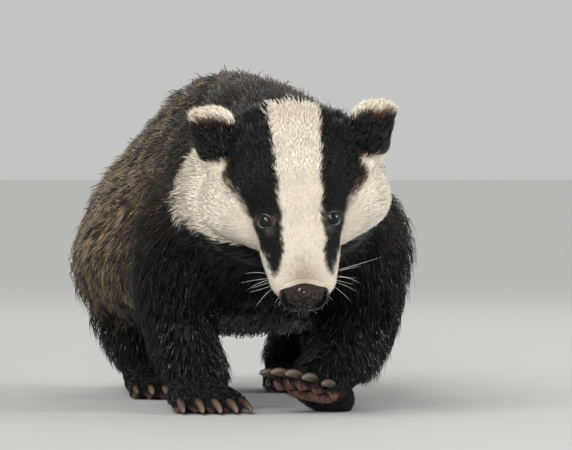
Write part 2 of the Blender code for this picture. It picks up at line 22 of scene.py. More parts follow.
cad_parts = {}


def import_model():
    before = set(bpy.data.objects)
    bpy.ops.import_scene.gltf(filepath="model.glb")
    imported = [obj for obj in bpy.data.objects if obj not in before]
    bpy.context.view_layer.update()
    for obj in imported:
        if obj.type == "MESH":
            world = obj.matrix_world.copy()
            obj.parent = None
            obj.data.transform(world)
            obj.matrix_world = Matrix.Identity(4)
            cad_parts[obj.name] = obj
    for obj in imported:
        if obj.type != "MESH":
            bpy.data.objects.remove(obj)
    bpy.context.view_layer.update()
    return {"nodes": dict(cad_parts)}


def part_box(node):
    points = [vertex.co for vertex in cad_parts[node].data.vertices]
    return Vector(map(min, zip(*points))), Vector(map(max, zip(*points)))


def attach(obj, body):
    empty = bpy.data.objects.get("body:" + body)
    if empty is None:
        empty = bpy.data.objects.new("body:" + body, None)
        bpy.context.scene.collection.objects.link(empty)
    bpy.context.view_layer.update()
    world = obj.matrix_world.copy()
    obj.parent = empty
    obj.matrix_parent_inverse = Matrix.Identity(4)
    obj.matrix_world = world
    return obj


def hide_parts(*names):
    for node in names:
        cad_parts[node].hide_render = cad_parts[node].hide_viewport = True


LOG = logging.getLogger("badger")

Triple = tuple[float, float, float]
Ball = tuple[Triple, Triple]
Group = tuple[Ball, ...]
# An array with a number or a row of numbers for each point
Rows = np.ndarray

# From the maker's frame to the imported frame, which stands centred on the floor
FLOOR_SHIFT = Vector((2.248, -104.165, -0.9))
BAKE_MAP = "OFBake"
BAKE_PATCH = 0.003


class Zone(Enum):
    """The parts of the body that differ in the length and lie of their coat."""

    HEAD = 0
    EAR = 1
    NECK = 2
    TORSO = 3
    TAIL = 4
    LEG = 5

    @staticmethod
    def of_node(name: str) -> "Zone | None":
        """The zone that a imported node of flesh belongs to.

        Args:
            name: The node's name.

        Returns:
            The zone, or None for other nodes.
        """
        for zone in Zone:
            if name.startswith(zone.name.lower()):
                return zone
        return Zone.LEG if "leg_" in name and not name.startswith("claw") else None


@dataclass(frozen=True)
class HeadPlan:
    """The lowered head: where it is held, how it is turned, and the masses of its own frame."""

    eye_midpoint: Triple = (-5, -265, 149)
    pitch: float = 38.0
    yaw: float = -5.4
    roll: float = -2.4
    spine: tuple[Group, ...] = (
        (((0, -51.5, -19.5), (25, 13, 16.5)), ((0, -46.5, -37.5), (15, 12, 9))),
        (((0, -26, -17), (29.5, 19, 22)), ((0, -13, -37), (22, 18, 13))),
        (((0, 4, -6), (33.2, 23, 22)), ((0, 22, -40), (29, 22, 17))),
        (((0, 50, 1), (50, 40, 35)), ((0, 62, -30), (46, 40, 33))),
        (((0, 84, 2), (60, 34, 41)), ((0, 62, -30), (46, 40, 33))),
    )
    cheek: Ball = ((37, 46, -20), (37, 32, 31))
    cheek_front: Ball = ((25, 12, -22), (14, 15, 15))
    ear_root: Triple = (59, 66, 37)
    ear_turn: Triple = (-22, 5, 10)
    ear_masses: Group = (((0, 4, -9), (15.5, 10, 13)), ((0, 0, 1), (16.5, 5.2, 12.5)))
    ear_cup: Group = (((0, -9, -5), (8, 6, 7)), ((0, -9, 0), (10.5, 6, 7.5)))
    ear_foot: Ball = ((0, 4, -14), (14, 10, 9))
    ear_bed: Ball = ((53, 67, 6), (16, 17, 17))

    def matrix(self) -> Matrix:
        """Takes a point of the unturned head, in metres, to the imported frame.

        Returns:
            The matrix.
        """
        turn = (
            Matrix.Rotation(math.radians(self.yaw), 4, "Z")
            @ Matrix.Rotation(math.radians(self.roll), 4, "Y")
            @ Matrix.Rotation(math.radians(self.pitch), 4, "X")
        )
        return maker_place() @ Matrix.Translation(metres(self.eye_midpoint)) @ turn

    def ear_matrix(self, side: int) -> Matrix:
        """Takes a point of one ear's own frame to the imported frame.

        Args:
            side: -1 for the animal's right ear and 1 for its left.

        Returns:
            The matrix.
        """
        x, y, z = self.ear_root
        pitch, roll, yaw = (math.radians(angle) for angle in self.ear_turn)
        lean = Euler((pitch, side * roll, side * yaw)).to_matrix().to_4x4()
        return self.matrix() @ Matrix.Translation(metres((side * x, y, z))) @ lean


@dataclass(frozen=True)
class PawPlan:
    """Where one paw stands, how it is turned, in degrees, and its sizes."""

    x: float
    y: float
    z: float
    yaw: float
    pitch: float = 0.0
    roll: float = 0.0
    length: float = 62.0
    half_width: float = 27.0
    toe_radius: float = 6.5
    claw: float = 26.0

    def matrix(self) -> Matrix:
        """Takes a point of the paw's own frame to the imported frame.

        Returns:
            The matrix.
        """
        turn = Euler((math.radians(-self.pitch), math.radians(self.roll), math.radians(self.yaw)))
        place = maker_place() @ Matrix.Translation(metres((self.x, self.y, self.z)))
        return place @ turn.to_matrix().to_4x4()

    def toe_place(self, toe: int) -> tuple[float, float]:
        """Sideways and forward place of a toe's tip, counted from -2 to 2 across the paw."""
        return toe * 0.43 * self.half_width, -0.62 * self.length + 2.6 * toe * toe

    def pads(self) -> list[Ball]:
        """The bare pads: a broad one under the palm and one under each toe.

        Returns:
            A ball for each pad.
        """
        wide = self.half_width
        pads = [((0, -13, 4), (0.72 * wide, 9, 6.5))]
        for toe in range(-2, 3):
            spread, reach = self.toe_place(toe)
            pads.append(((spread, reach + 3, 4.5), (0.72 * self.toe_radius, 7, 6)))
        return pads

    def masses(self) -> list[Group]:
        """Groups of balls to hull: heel and palm, pads, and the toes with their own pads.

        Returns:
            The groups, in the paw's own frame.
        """
        wide, toe_radius = self.half_width, self.toe_radius
        groups = [
            (((0, 0, 13), (wide, 0.34 * self.length, 13)), ((0, 14, 12), (0.8 * wide, 18, 12))),
            tuple(((side * 0.36 * wide, -13, 4), (0.36 * wide, 9, 5.5)) for side in (-1, 1)),
        ]
        for toe in range(-2, 3):
            spread, reach = self.toe_place(toe)
            knuckle = ((0.8 * spread, -12, 12), (toe_radius, 10, 9))
            tip = ((spread, reach, 8), (toe_radius - 0.4, 8.5, 8))
            groups += [(knuckle, tip), (((spread, reach + 3, 4.5), (0.72 * toe_radius, 7, 6)),)]
        return groups


@dataclass(frozen=True)
class LegPlan:
    """One leg as a chain of balls from the shoulder or hip down, and its paw."""

    chain: Group
    paw: PawPlan


def leg_plans() -> dict[str, LegPlan]:
    """The four legs in the stride of the pose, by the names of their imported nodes.

    Returns:
        A plan for each leg.
    """
    return {
        "foreleg_right": LegPlan(
            (
                ((-62, -88, 124), (39, 50, 54)), ((-70, -64, 94), (32, 38, 40)),
                ((-67, -86, 60), (27, 29, 29)), ((-62, -106, 32), (23, 24, 22)),
                ((-60, -118, 16), (23, 23, 15)),
            ),
            PawPlan(-60, -128, 0, 6),
        ),
        "foreleg_left": LegPlan(
            (
                ((64, -92, 124), (39, 50, 54)), ((68, -70, 72), (32, 38, 38)),
                ((53, -104, 45), (26, 29, 25)), ((38, -130, 30), (21, 22, 20)),
                ((32, -137, 18), (20, 20, 14)),
            ),
            PawPlan(26, -144, 5, -34, 21, 8),
        ),
        "hindleg_right": LegPlan(
            (
                ((-54, 258, 124), (44, 54, 50)), ((-83, 190, 90), (31, 38, 38)),
                ((-76, 186, 58), (26, 28, 28)), ((-67, 192, 31), (19, 20, 20)),
                ((-64, 180, 16), (20, 22, 15)),
            ),
            PawPlan(-63, 150, 0, 4, 0, 0, 68, 24, 5.8, 14),
        ),
        "hindleg_left": LegPlan(
            (
                ((54, 286, 124), (44, 54, 50)), ((83, 236, 92), (33, 38, 40)),
                ((76, 286, 60), (26, 29, 29)), ((70, 318, 32), (19, 20, 20)),
                ((68, 306, 16), (20, 22, 15)),
            ),
            PawPlan(66, 276, 0, -4, 0, 0, 68, 24, 5.8, 14),
        ),
    }


@dataclass(frozen=True)
class BodyPlan:
    """The outline of the trunk and legs, out to the tips of the coat."""

    stations: tuple[tuple[float, float, float, float, float], ...] = (
        (-105, 245, 78, 94, 60),
        (-40, 254, 62, 104, 66),
        (60, 261, 53, 117, 66),
        (160, 266, 52, 127, 64),
        (245, 263, 58, 127, 62),
        (315, 246, 75, 112, 56),
        (362, 218, 102, 83, 42),
    )
    station_depth: float = 42
    neck: Group = (((-4, -188, 170), (78, 40, 63)), ((-2, -150, 168), (84, 45, 68)))
    tail: Group = (
        ((0, 372, 186), (27, 26, 26)),
        ((0, 425, 168), (26, 26, 25)),
        ((0, 466, 140), (27, 25, 25)),
        ((0, 496, 104), (22, 20, 22)),
        ((0, 510, 74), (12, 11, 12)),
    )
    legs: dict[str, LegPlan] = field(default_factory=leg_plans)

    def torso(self) -> list[Group]:
        """Wide low flanks, a narrower band above them and a ridge at each station of the torso.

        Returns:
            A group for each station.
        """
        groups = []
        for y, back, belly, half_width, ridge in self.stations:
            tall, deep = back - belly, self.station_depth
            groups.append(
                (
                    ((0, y, belly + 0.26 * tall), (half_width, deep, 0.26 * tall)),
                    ((0, y, belly + 0.47 * tall), (0.87 * half_width, deep, 0.24 * tall)),
                    ((0, y, belly + 0.65 * tall), (ridge, deep, 0.35 * tall)),
                )
            )
        return groups


def metres(point: Triple) -> Vector:
    """A point or a set of sizes given in millimetres, in metres."""
    return Vector(point) / 1000


def maker_place() -> Matrix:
    """Takes a point of the maker's frame, in metres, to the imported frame."""
    return Matrix.Translation(FLOOR_SHIFT / 1000)


def in_frame_of(points: Rows, place: Matrix) -> Rows:
    """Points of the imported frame, in metres, in a local frame, in millimetres.

    Args:
        points: An array with one point in each row.
        place: Takes the local frame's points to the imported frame.

    Returns:
        An array of the same shape.
    """
    back = np.array(place.inverted())
    return (points @ back[:3, :3].T + back[:3, 3]) * 1000


def turned(vectors: Rows, place: Matrix) -> Rows:
    """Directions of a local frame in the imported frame."""
    return vectors @ np.array(place)[:3, :3].T


def unit(vectors: Rows) -> Rows:
    """Each row scaled to length 1."""
    return vectors / np.maximum(np.linalg.norm(vectors, axis=-1, keepdims=True), 1e-12)


def ramp(low: float, high: float, value: Rows) -> Rows:
    """Runs smoothly from 0 at low to 1 at high, where low may be the larger."""
    share = np.clip((value - low) / (high - low), 0, 1)
    return share * share * (3 - 2 * share)


def bell(value: Rows, middle: Rows | float, width: float) -> Rows:
    """1 where the value is at the middle, and falling softly to 0 beside it."""
    return np.exp(-(((value - middle) / width) ** 2))


def mixed(first: Rows | float, second: Rows | float, share: Rows) -> Rows:
    """The first value where share is 0 and the second where it is 1."""
    return first * (1 - share) + second * share


def blended(zones: Rows, *by_zone: Rows | float) -> Rows:
    """One value for each Zone, in its order, mixed by each point's share of the zones.

    Args:
        zones: Each point's share of each zone.
        by_zone: The values, each one number or a number for each point.

    Returns:
        The mix at each point.
    """
    return sum(value * share for value, share in zip(by_zone, zones.T))


def ripple(points: Rows, size: float, seed: int) -> Rows:
    """Smooth noise from about -1 to 1, made of waves that run in random directions.

    Args:
        points: One point in each row, in millimetres.
        size: The usual width of a wave, in millimetres.
        seed: Picks the waves.

    Returns:
        The noise at each point.
    """
    chance = np.random.default_rng(seed)
    total = np.zeros(len(points))
    waves = 8
    for _ in range(waves):
        way = unit(chance.normal(size=3)) * 2 * math.pi / (size * chance.uniform(0.7, 1.6))
        total += np.sin(points @ way + chance.uniform(0, 2 * math.pi))
    return total / math.sqrt(waves)


def mesh_object(name: str, bm: BMesh) -> Object:
    """A new object in the scene that takes over this bmesh.

    Args:
        name: The object's name.
        bm: The shape, which is freed.

    Returns:
        The object.
    """
    mesh = bpy.data.meshes.new(name)
    bm.to_mesh(mesh)
    bm.free()
    made = bpy.data.objects.new(name, mesh)
    bpy.context.scene.collection.objects.link(made)
    return made


def dress(piece: Object, finish: Material) -> None:
    """Gives a piece its one finish, in place of the empty slot that cutting leaves, and smooth shading.

    Args:
        piece: The piece.
        finish: The material.
    """
    piece.data.materials.clear()
    piece.data.materials.append(finish)
    piece.data.shade_smooth()


def apply_modifier(obj: Object, kind: str, **settings: object) -> None:
    """Adds one modifier and makes its result the object's mesh.

    Args:
        obj: The object.
        kind: The modifier's type.
        settings: Its properties.
    """
    modifier = obj.modifiers.new(kind.title(), kind)
    for key, value in settings.items():
        setattr(modifier, key, value)
    graph = bpy.context.evaluated_depsgraph_get()
    mesh = bpy.data.meshes.new_from_object(obj.evaluated_get(graph))
    obj.modifiers.clear()
    obj.data = mesh


def mirrored(group: Group, side: int) -> Group:
    """The same balls for a side of 1, and those across the middle for -1."""
    return tuple(((side * x, y, z), radii) for (x, y, z), radii in group)


def hull(target: BMesh, balls: Group, place: Matrix) -> None:
    """Adds the convex hull of some ellipsoids, placed by a matrix, to the target.

    Args:
        target: The bmesh that gets the hull.
        balls: The ellipsoids.
        place: Takes the balls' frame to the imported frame.
    """
    bm = bmesh.new()
    for centre, radii in balls:
        shape = place @ Matrix.LocRotScale(metres(centre), None, metres(radii))
        bmesh.ops.create_icosphere(bm, subdivisions=3, radius=1, matrix=shape)
    bmesh.ops.delete(bm, geom=bm.edges[:] + bm.faces[:], context="EDGES_FACES")
    bmesh.ops.convex_hull(bm, input=bm.verts[:])
    bmesh.ops.delete(bm, geom=[v for v in bm.verts if not v.link_faces], context="VERTS")
    made = bpy.data.meshes.new("hull")
    bm.to_mesh(made)
    bm.free()
    target.from_mesh(made)
    bpy.data.meshes.remove(made)


def hull_chain(target: BMesh, groups: list[Group], place: Matrix) -> None:
    """Hulls each group of ellipsoids with the next one."""
    for first, second in zip(groups, groups[1:]):
        hull(target, (*first, *second), place)


def carved(obj: Object, cutters: list[Object]) -> None:
    """Cuts closed objects out of the object and removes them.

    Args:
        obj: The object that is cut.
        cutters: The closed objects.
    """
    group = bpy.data.collections.new(obj.name + "_cutters")
    for cutter in cutters:
        group.objects.link(cutter)
    bpy.context.scene.collection.children.link(group)
    bpy.context.view_layer.update()
    apply_modifier(
        obj, "BOOLEAN", operation="DIFFERENCE", operand_type="COLLECTION", collection=group,
        solver="MANIFOLD",
    )
    for cutter in cutters:
        bpy.data.objects.remove(cutter)
    bpy.data.collections.remove(group)


def horn_of_rings(
    bm: BMesh, path: list[Vector], widths: list[float], depths: list[float],
    across: Vector, sides: int,
) -> None:
    """Adds a closed tapered form along a path that ends in a point.

    Args:
        bm: The bmesh that gets the form.
        path: Centres of the rings, in metres.
        widths: Half width of each ring along the across direction, in millimetres.
        depths: Half depth of each ring, in millimetres.
        across: The direction of the rings' widths.
        sides: Corners of each ring.
    """
    loops = []
    for index, (point, width, depth) in enumerate(zip(path, widths, depths)):
        ahead = path[min(index + 1, len(path) - 1)] - path[max(index - 1, 0)]
        along = ahead.normalized()
        side = (across - across.dot(along) * along).normalized()
        turn = Matrix((side, along.cross(side), along)).transposed().to_4x4()
        shape = Matrix.Translation(point) @ turn @ Matrix.Diagonal((width / 1000, depth / 1000, 1, 1))
        loops.append(bmesh.ops.create_circle(bm, segments=sides, radius=1, matrix=shape)["verts"])
    made = [vertex for loop in loops for vertex in loop]
    for first, second in zip(loops, loops[1:]):
        rings = ({*first}, {*second})
        edges = {e for vertex in (*first, *second) for e in vertex.link_edges}
        around = [e for e in edges if any(set(e.verts) <= ring for ring in rings)]
        bmesh.ops.bridge_loops(bm, edges=around)
    bmesh.ops.contextual_create(bm, geom=loops[0])
    bmesh.ops.pointmerge(bm, verts=loops[-1], merge_co=path[-1])
    faces = list({face for vertex in made if vertex.is_valid for face in vertex.link_faces})
    bmesh.ops.recalc_face_normals(bm, faces=faces)


class Value:
    """A shader socket that takes part in Python expressions."""

    def __init__(self, tree: "Shader", socket: NodeSocket) -> None:
        """Wraps an output socket of a node in the tree."""
        self.tree = tree
        self.socket = socket

    def _math(self, operation: str, *terms: "Value | float") -> "Value":
        """One Math node on these terms."""
        return self.tree.node("ShaderNodeMath", {"operation": operation}, dict(enumerate(terms)))

    def __add__(self, other: "Value | float") -> "Value":
        """This value plus another."""
        return self._math("ADD", self, other)

    def __sub__(self, other: "Value | float") -> "Value":
        """This value less another."""
        return self._math("SUBTRACT", self, other)

    def __rsub__(self, other: float) -> "Value":
        """A number less this value."""
        return self._math("SUBTRACT", other, self)

    def __mul__(self, other: "Value | float") -> "Value":
        """This value times another."""
        return self._math("MULTIPLY", self, other)

    __radd__ = __add__
    __rmul__ = __mul__

    def between(self, low: float, high: float) -> "Value":
        """Runs smoothly from 0 at low to 1 at high."""
        inputs = {"Value": self, "From Min": low, "From Max": high}
        return self.tree.node("ShaderNodeMapRange", {"interpolation_type": "SMOOTHSTEP"}, inputs)


class Shader:
    """One procedural material and the nodes that make it."""

    def __init__(self, name: str) -> None:
        """Starts a material with a Principled BSDF.

        Args:
            name: The material's name.
        """
        self.material = bpy.data.materials.new(name)
        self.material.use_nodes = True
        self.nodes = self.material.node_tree.nodes
        self.links = self.material.node_tree.links
        self.surface = self.nodes["Principled BSDF"]

    def node(
        self, kind: str, settings: dict | None = None, inputs: dict | None = None,
        output: str | int = 0,
    ) -> Value:
        """Adds a node.

        Args:
            kind: The node's type name.
            settings: Its properties, set before its sockets.
            inputs: A number, colour or Value for each socket, by name or place.
            output: The output socket that is wanted, by name or place.

        Returns:
            The output as a Value.
        """
        made = self.nodes.new(kind)
        for key, value in (settings or {}).items():
            setattr(made, key, value)
        for key, value in (inputs or {}).items():
            self._feed(made.inputs[key], value)
        return Value(self, made.outputs[output])

    def _feed(self, socket: NodeSocket, value: "Value | float | Triple") -> None:
        """Links a Value to a socket, or sets the socket's own number or colour.

        Args:
            socket: A node's input.
            value: What it gets.
        """
        if isinstance(value, Value):
            self.links.new(value.socket, socket)
        elif isinstance(value, tuple) and len(value) == 3 and socket.type == "RGBA":
            socket.default_value = (*value, 1)
        else:
            socket.default_value = value

    def read(self, name: str) -> Value:
        """A number that the mesh carries at each vertex."""
        return self.node("ShaderNodeAttribute", {"attribute_name": name}, output="Fac")

    def mix(self, first: "Value | Triple", second: "Value | Triple", share: "Value | float") -> Value:
        """The first colour where share is 0 and the second where it is 1."""
        inputs = {"Factor": share, 6: first, 7: second}
        return self.node("ShaderNodeMix", {"data_type": "RGBA", "clamp_factor": True}, inputs, output=2)

    def scaled(self, colour: Value, amount: "Value | float") -> Value:
        """A colour made brighter or darker by a number."""
        inputs = {0: colour, "Scale": amount}
        return self.node("ShaderNodeVectorMath", {"operation": "SCALE"}, inputs)

    def noise(self, size: float, detail: float = 3.0, stretch: Triple = (1, 1, 1)) -> Value:
        """Noise on Object coordinates.

        Args:
            size: Width of the noise's cells, in millimetres.
            detail: How many finer layers it has.
            stretch: Scale along each axis.

        Returns:
            The noise, from 0 to 1.
        """
        where = self.node("ShaderNodeTexCoord", output="Object")
        scale = tuple(1000 / size * s for s in stretch)
        place = self.node("ShaderNodeMapping", inputs={"Vector": where, "Scale": scale})
        return self.node("ShaderNodeTexNoise", inputs={"Vector": place, "Scale": 1.0, "Detail": detail})

    def bump(self, height: Value, strength: float, distance: float) -> Value:
        """A normal that stands for small heights, with the distance in millimetres."""
        inputs = {"Height": height, "Strength": strength, "Distance": distance / 1000}
        return self.node("ShaderNodeBump", inputs=inputs)

    def finish(self, varying: dict[str, "Value | float"], fixed: dict[str, float]) -> Material:
        """Feeds the Principled BSDF.

        Args:
            varying: Numbers, colours or Values for its inputs, by name.
            fixed: Plain numbers for others of its inputs.

        Returns:
            The material.
        """
        for name, value in {**varying, **fixed}.items():
            self._feed(self.surface.inputs[name], value)
        return self.material


@dataclass(frozen=True)
class FurColours:
    """Colours of the coat from the root of a hair to its tip."""

    # White hair is darker towards the root: partly the hairs' own tone, partly painted shade deep in the
    # coat
    white_root: Triple = (0.50, 0.415, 0.305)
    white_tip: Triple = (0.95, 0.885, 0.76)
    cream: Triple = (0.78, 0.64, 0.43)
    black_root: Triple = (0.0032, 0.003, 0.003)
    black_tip: Triple = (0.0075, 0.007, 0.007)
    # Grey tips on a few black hairs: partly sparse grey hairs of the coat, partly painted glints of light
    ash_and_glint_tip: Triple = (0.115, 0.108, 0.100)
    brown_tip: Triple = (0.045, 0.026, 0.016)
    under_wool: Triple = (0.135, 0.096, 0.060)
    dark_band: Triple = (0.015, 0.011, 0.009)
    silver_tip: Triple = (0.62, 0.49, 0.325)
    rust: Triple = (0.17, 0.075, 0.036)


@dataclass(frozen=True)
class FurFinish:
    """The coat: white, black or banded hairs, as its tufts and the skin under them carry them."""

    name: str
    colours: FurColours = FurColours()
    skin: bool = False

    def material(self) -> Material:
        """Builds the material from the marks that the mesh carries.

        Returns:
            The material.
        """
        shader = Shader(self.name)
        tint = self.colours
        along, chance = shader.read("along"), shader.read("chance")
        silver = shader.read("silver")
        band = along.between(0.22, 0.46) * (1.12 - silver * 0.40)
        tipped = (silver * 1.25 - chance * 0.95 + 0.02).between(0.0, 0.30)
        pale = (along + silver * 0.08).between(0.62, 0.86) * tipped
        grizzled = shader.mix(tint.under_wool, tint.dark_band, band)
        grizzled = shader.mix(grizzled, tint.silver_tip, pale)
        # Darker towards the root: partly the hairs' own tone, partly painted shade deep in the coat
        white = shader.mix(tint.white_root, tint.white_tip, along.between(-0.10, 0.50))
        white = shader.mix(white, tint.cream, shader.read("cream"))
        black = shader.mix(tint.black_root, tint.black_tip, along.between(0.2, 0.9))
        black = shader.mix(black, tint.brown_tip, chance.between(0.80, 1.0) * along * 0.45)
        # A few black hairs get grey tips: partly the coat's sparse grey hairs, partly painted glints on the
        # black fur
        ashen_and_glinting = chance.between(0.40, 0.60) * (1 - chance.between(0.62, 0.74))
        black = shader.mix(black, tint.ash_and_glint_tip, ashen_and_glinting * along.between(0.3, 1.0) * 0.75)
        colour = shader.mix(grizzled, black, shader.read("black"))
        colour = shader.mix(colour, white, shader.read("white"))
        colour = shader.mix(colour, tint.rust, shader.read("rust"))
        uneven = shader.noise(22, 2) * 0.20 + 0.68 + chance * 0.32
        colour = shader.scaled(colour, uneven)
        colour = shader.mix(colour, (0.115, 0.092, 0.080), shader.read("tear") * 0.5)
        varying = {
            "Roughness": 0.42 + shader.read("white") * 0.14,
            "Coat Weight": chance.between(0.66, 0.80) * (shader.read("black") * 0.92 + 0.08),
        }
        if self.skin:
            colour = self._bare_skin(shader, colour)
            fine = shader.noise(1.1, 2) * 0.6 + shader.noise(3.2, 2) * 0.4
            varying["Normal"] = shader.bump(fine, 0.8, 0.9)
            varying["Roughness"] = 0.62 - shader.read("bare") * 0.12
        steady = {"Specular IOR Level": 0.17, "Coat Roughness": 0.20}
        return shader.finish({"Base Color": colour, **varying}, steady)

    @staticmethod
    def _bare_skin(shader: Shader, colour: Value) -> Value:
        """Lays bare skin over the coat's colour: brownish-pink pads, dark lids and tear marks.

        Args:
            shader: The material in the making.
            colour: The colour so far.

        Returns:
            The colour with the skin laid over it.
        """
        pad = shader.mix((0.10, 0.050, 0.040), (0.24, 0.125, 0.10), shader.noise(5, 4))
        colour = shader.mix(colour, pad, shader.read("pad"))
        tear = shader.mix((0.055, 0.043, 0.036), (0.15, 0.115, 0.095), shader.noise(1.6, 3))
        colour = shader.mix(colour, tear, shader.read("tear"))
        return shader.mix(colour, (0.016, 0.012, 0.011), shader.read("bare"))


@dataclass(frozen=True)
class NoseFinish:
    """Dark brown leather with a fine cobbled grain, moist where it is lit, and near black inside the
    nostrils as painted shade.
    """

    dark: Triple = (0.0045, 0.0036, 0.0032)
    brown: Triple = (0.042, 0.026, 0.019)
    # Painted shade: the near-black colour laid inside the nostrils
    hollow: Triple = (0.0012, 0.0010, 0.0010)

    def material(self) -> Material:
        """Builds the material from Object coordinates, the mesh's own wear and the painted shade of its
        nostrils.

        Returns:
            The material.
        """
        shader = Shader("nose_leather")
        where = shader.node("ShaderNodeTexCoord", output="Object")
        cells = shader.node(
            "ShaderNodeTexVoronoi", {"feature": "SMOOTH_F1"},
            {"Vector": where, "Scale": 1000 / 1.15, "Smoothness": 0.35},
        )
        patchy = shader.noise(7, 3)
        wet = shader.noise(2.4, 2).between(0.50, 0.66)
        worn, hollow = shader.read("worn"), shader.read("hollow")
        colour = shader.mix(self.dark, self.brown, worn * 0.80 + patchy * 0.22 - 0.10)
        # Painted shade inside the nostrils
        colour = shader.mix(colour, self.hollow, hollow)
        grain = (1 - cells) * 0.9 + shader.noise(0.5, 2) * 0.1 + shader.noise(2.6, 2) * 0.7
        varying = {
            "Base Color": colour,
            "Roughness": 0.36 + patchy * 0.16 + worn * 0.10 - wet * 0.18,
            "Coat Weight": (1 - hollow) * wet,
            "Normal": shader.bump(grain, 1.0, 1.3),
        }
        return shader.finish(varying, {"Coat Roughness": 0.09, "Specular IOR Level": 0.15})


@dataclass(frozen=True)
class HornFinish:
    """Claws: dark brown at the root, paler and worn to the tip, ridged along their length."""

    root: Triple = (0.022, 0.015, 0.011)
    tip: Triple = (0.135, 0.092, 0.055)

    def material(self) -> Material:
        """Builds the material from the mesh's own length attribute.

        Returns:
            The material.
        """
        shader = Shader("claw_horn")
        along = shader.read("along")
        streaks = shader.noise(1.3, 4, (1, 0.12, 0.4))
        colour = shader.mix(self.root, self.tip, along.between(0.15, 1.05) * 0.8 + streaks * 0.35 - 0.12)
        varying = {
            "Base Color": colour,
            "Roughness": 0.28 + streaks * 0.30,
            "Normal": shader.bump(streaks, 0.5, 0.3),
        }
        return shader.finish(varying, {"Specular IOR Level": 0.5})


@dataclass(frozen=True)
class EyeFinish:
    """A dark brown eye under a clear, wet surface."""

    pupil: Triple = (0.0008, 0.0007, 0.0006)
    iris: Triple = (0.010, 0.005, 0.003)
    edge: Triple = (0.003, 0.002, 0.0015)

    def material(self) -> Material:
        """Builds the material from the angle to the gaze that the mesh carries.

        Returns:
            The material.
        """
        shader = Shader("eye")
        gaze = shader.read("gaze")
        fibres = shader.noise(0.7, 3)
        iris = shader.mix(self.edge, self.iris, fibres.between(0.3, 0.75) * 0.8 + 0.2)
        colour = shader.mix(self.pupil, iris, gaze.between(0.20, 0.26))
        colour = shader.mix(colour, self.edge, gaze.between(0.44, 0.54))
        return shader.finish(
            {"Base Color": colour, "Roughness": 0.16 + gaze * 0.05},
            {"Coat Weight": 1.0, "Coat Roughness": 0.02, "Coat IOR": 1.34, "Specular IOR Level": 0.1},
        )


@dataclass(frozen=True)
class LidFinish:
    """The moist rim of the lids, paler than the dark hair round it."""

    dark: Triple = (0.018, 0.014, 0.013)
    pale: Triple = (0.30, 0.27, 0.25)

    def material(self) -> Material:
        """Builds the material with a fine mottle.

        Returns:
            The material.
        """
        shader = Shader("lid_rim")
        patchy = shader.noise(2.2, 3).between(0.25, 0.65) * 0.5 + 0.5
        colour = shader.mix(self.dark, self.pale, shader.read("pale") * patchy)
        normal = shader.bump(shader.noise(0.5, 2), 0.3, 0.2)
        return shader.finish(
            {"Base Color": colour, "Normal": normal, "Roughness": 0.26 + shader.noise(1.2, 2) * 0.1},
            {"Coat Weight": 0.6, "Coat Roughness": 0.08},
        )


@dataclass(frozen=True)
class BristleFinish:
    """Whiskers and bristles: pale at the tip and browner at the root."""

    root: Triple = (0.30, 0.26, 0.21)
    tip: Triple = (0.72, 0.70, 0.66)

    def material(self) -> Material:
        """Builds the material from the mesh's own length attribute.

        Returns:
            The material.
        """
        shader = Shader("bristle")
        colour = shader.mix(self.root, self.tip, shader.read("along").between(0.0, 0.35))
        colour = shader.scaled(colour, shader.read("chance") * 0.3 + 0.8)
        return shader.finish({"Base Color": colour, "Roughness": 0.34 + shader.read("chance") * 0.1}, {})


@dataclass(frozen=True)
class FloorFinish:
    """A plain pale studio floor with the faintest unevenness."""

    colour: Triple = (0.46, 0.456, 0.447)

    def material(self) -> Material:
        """Builds the matt material.

        Returns:
            The material.
        """
        shader = Shader("studio_floor")
        paler = tuple(c * 1.03 for c in self.colour)
        colour = shader.mix(self.colour, paler, shader.noise(400, 3))
        return shader.finish({"Base Color": colour}, {"Roughness": 0.85, "Specular IOR Level": 0.2})


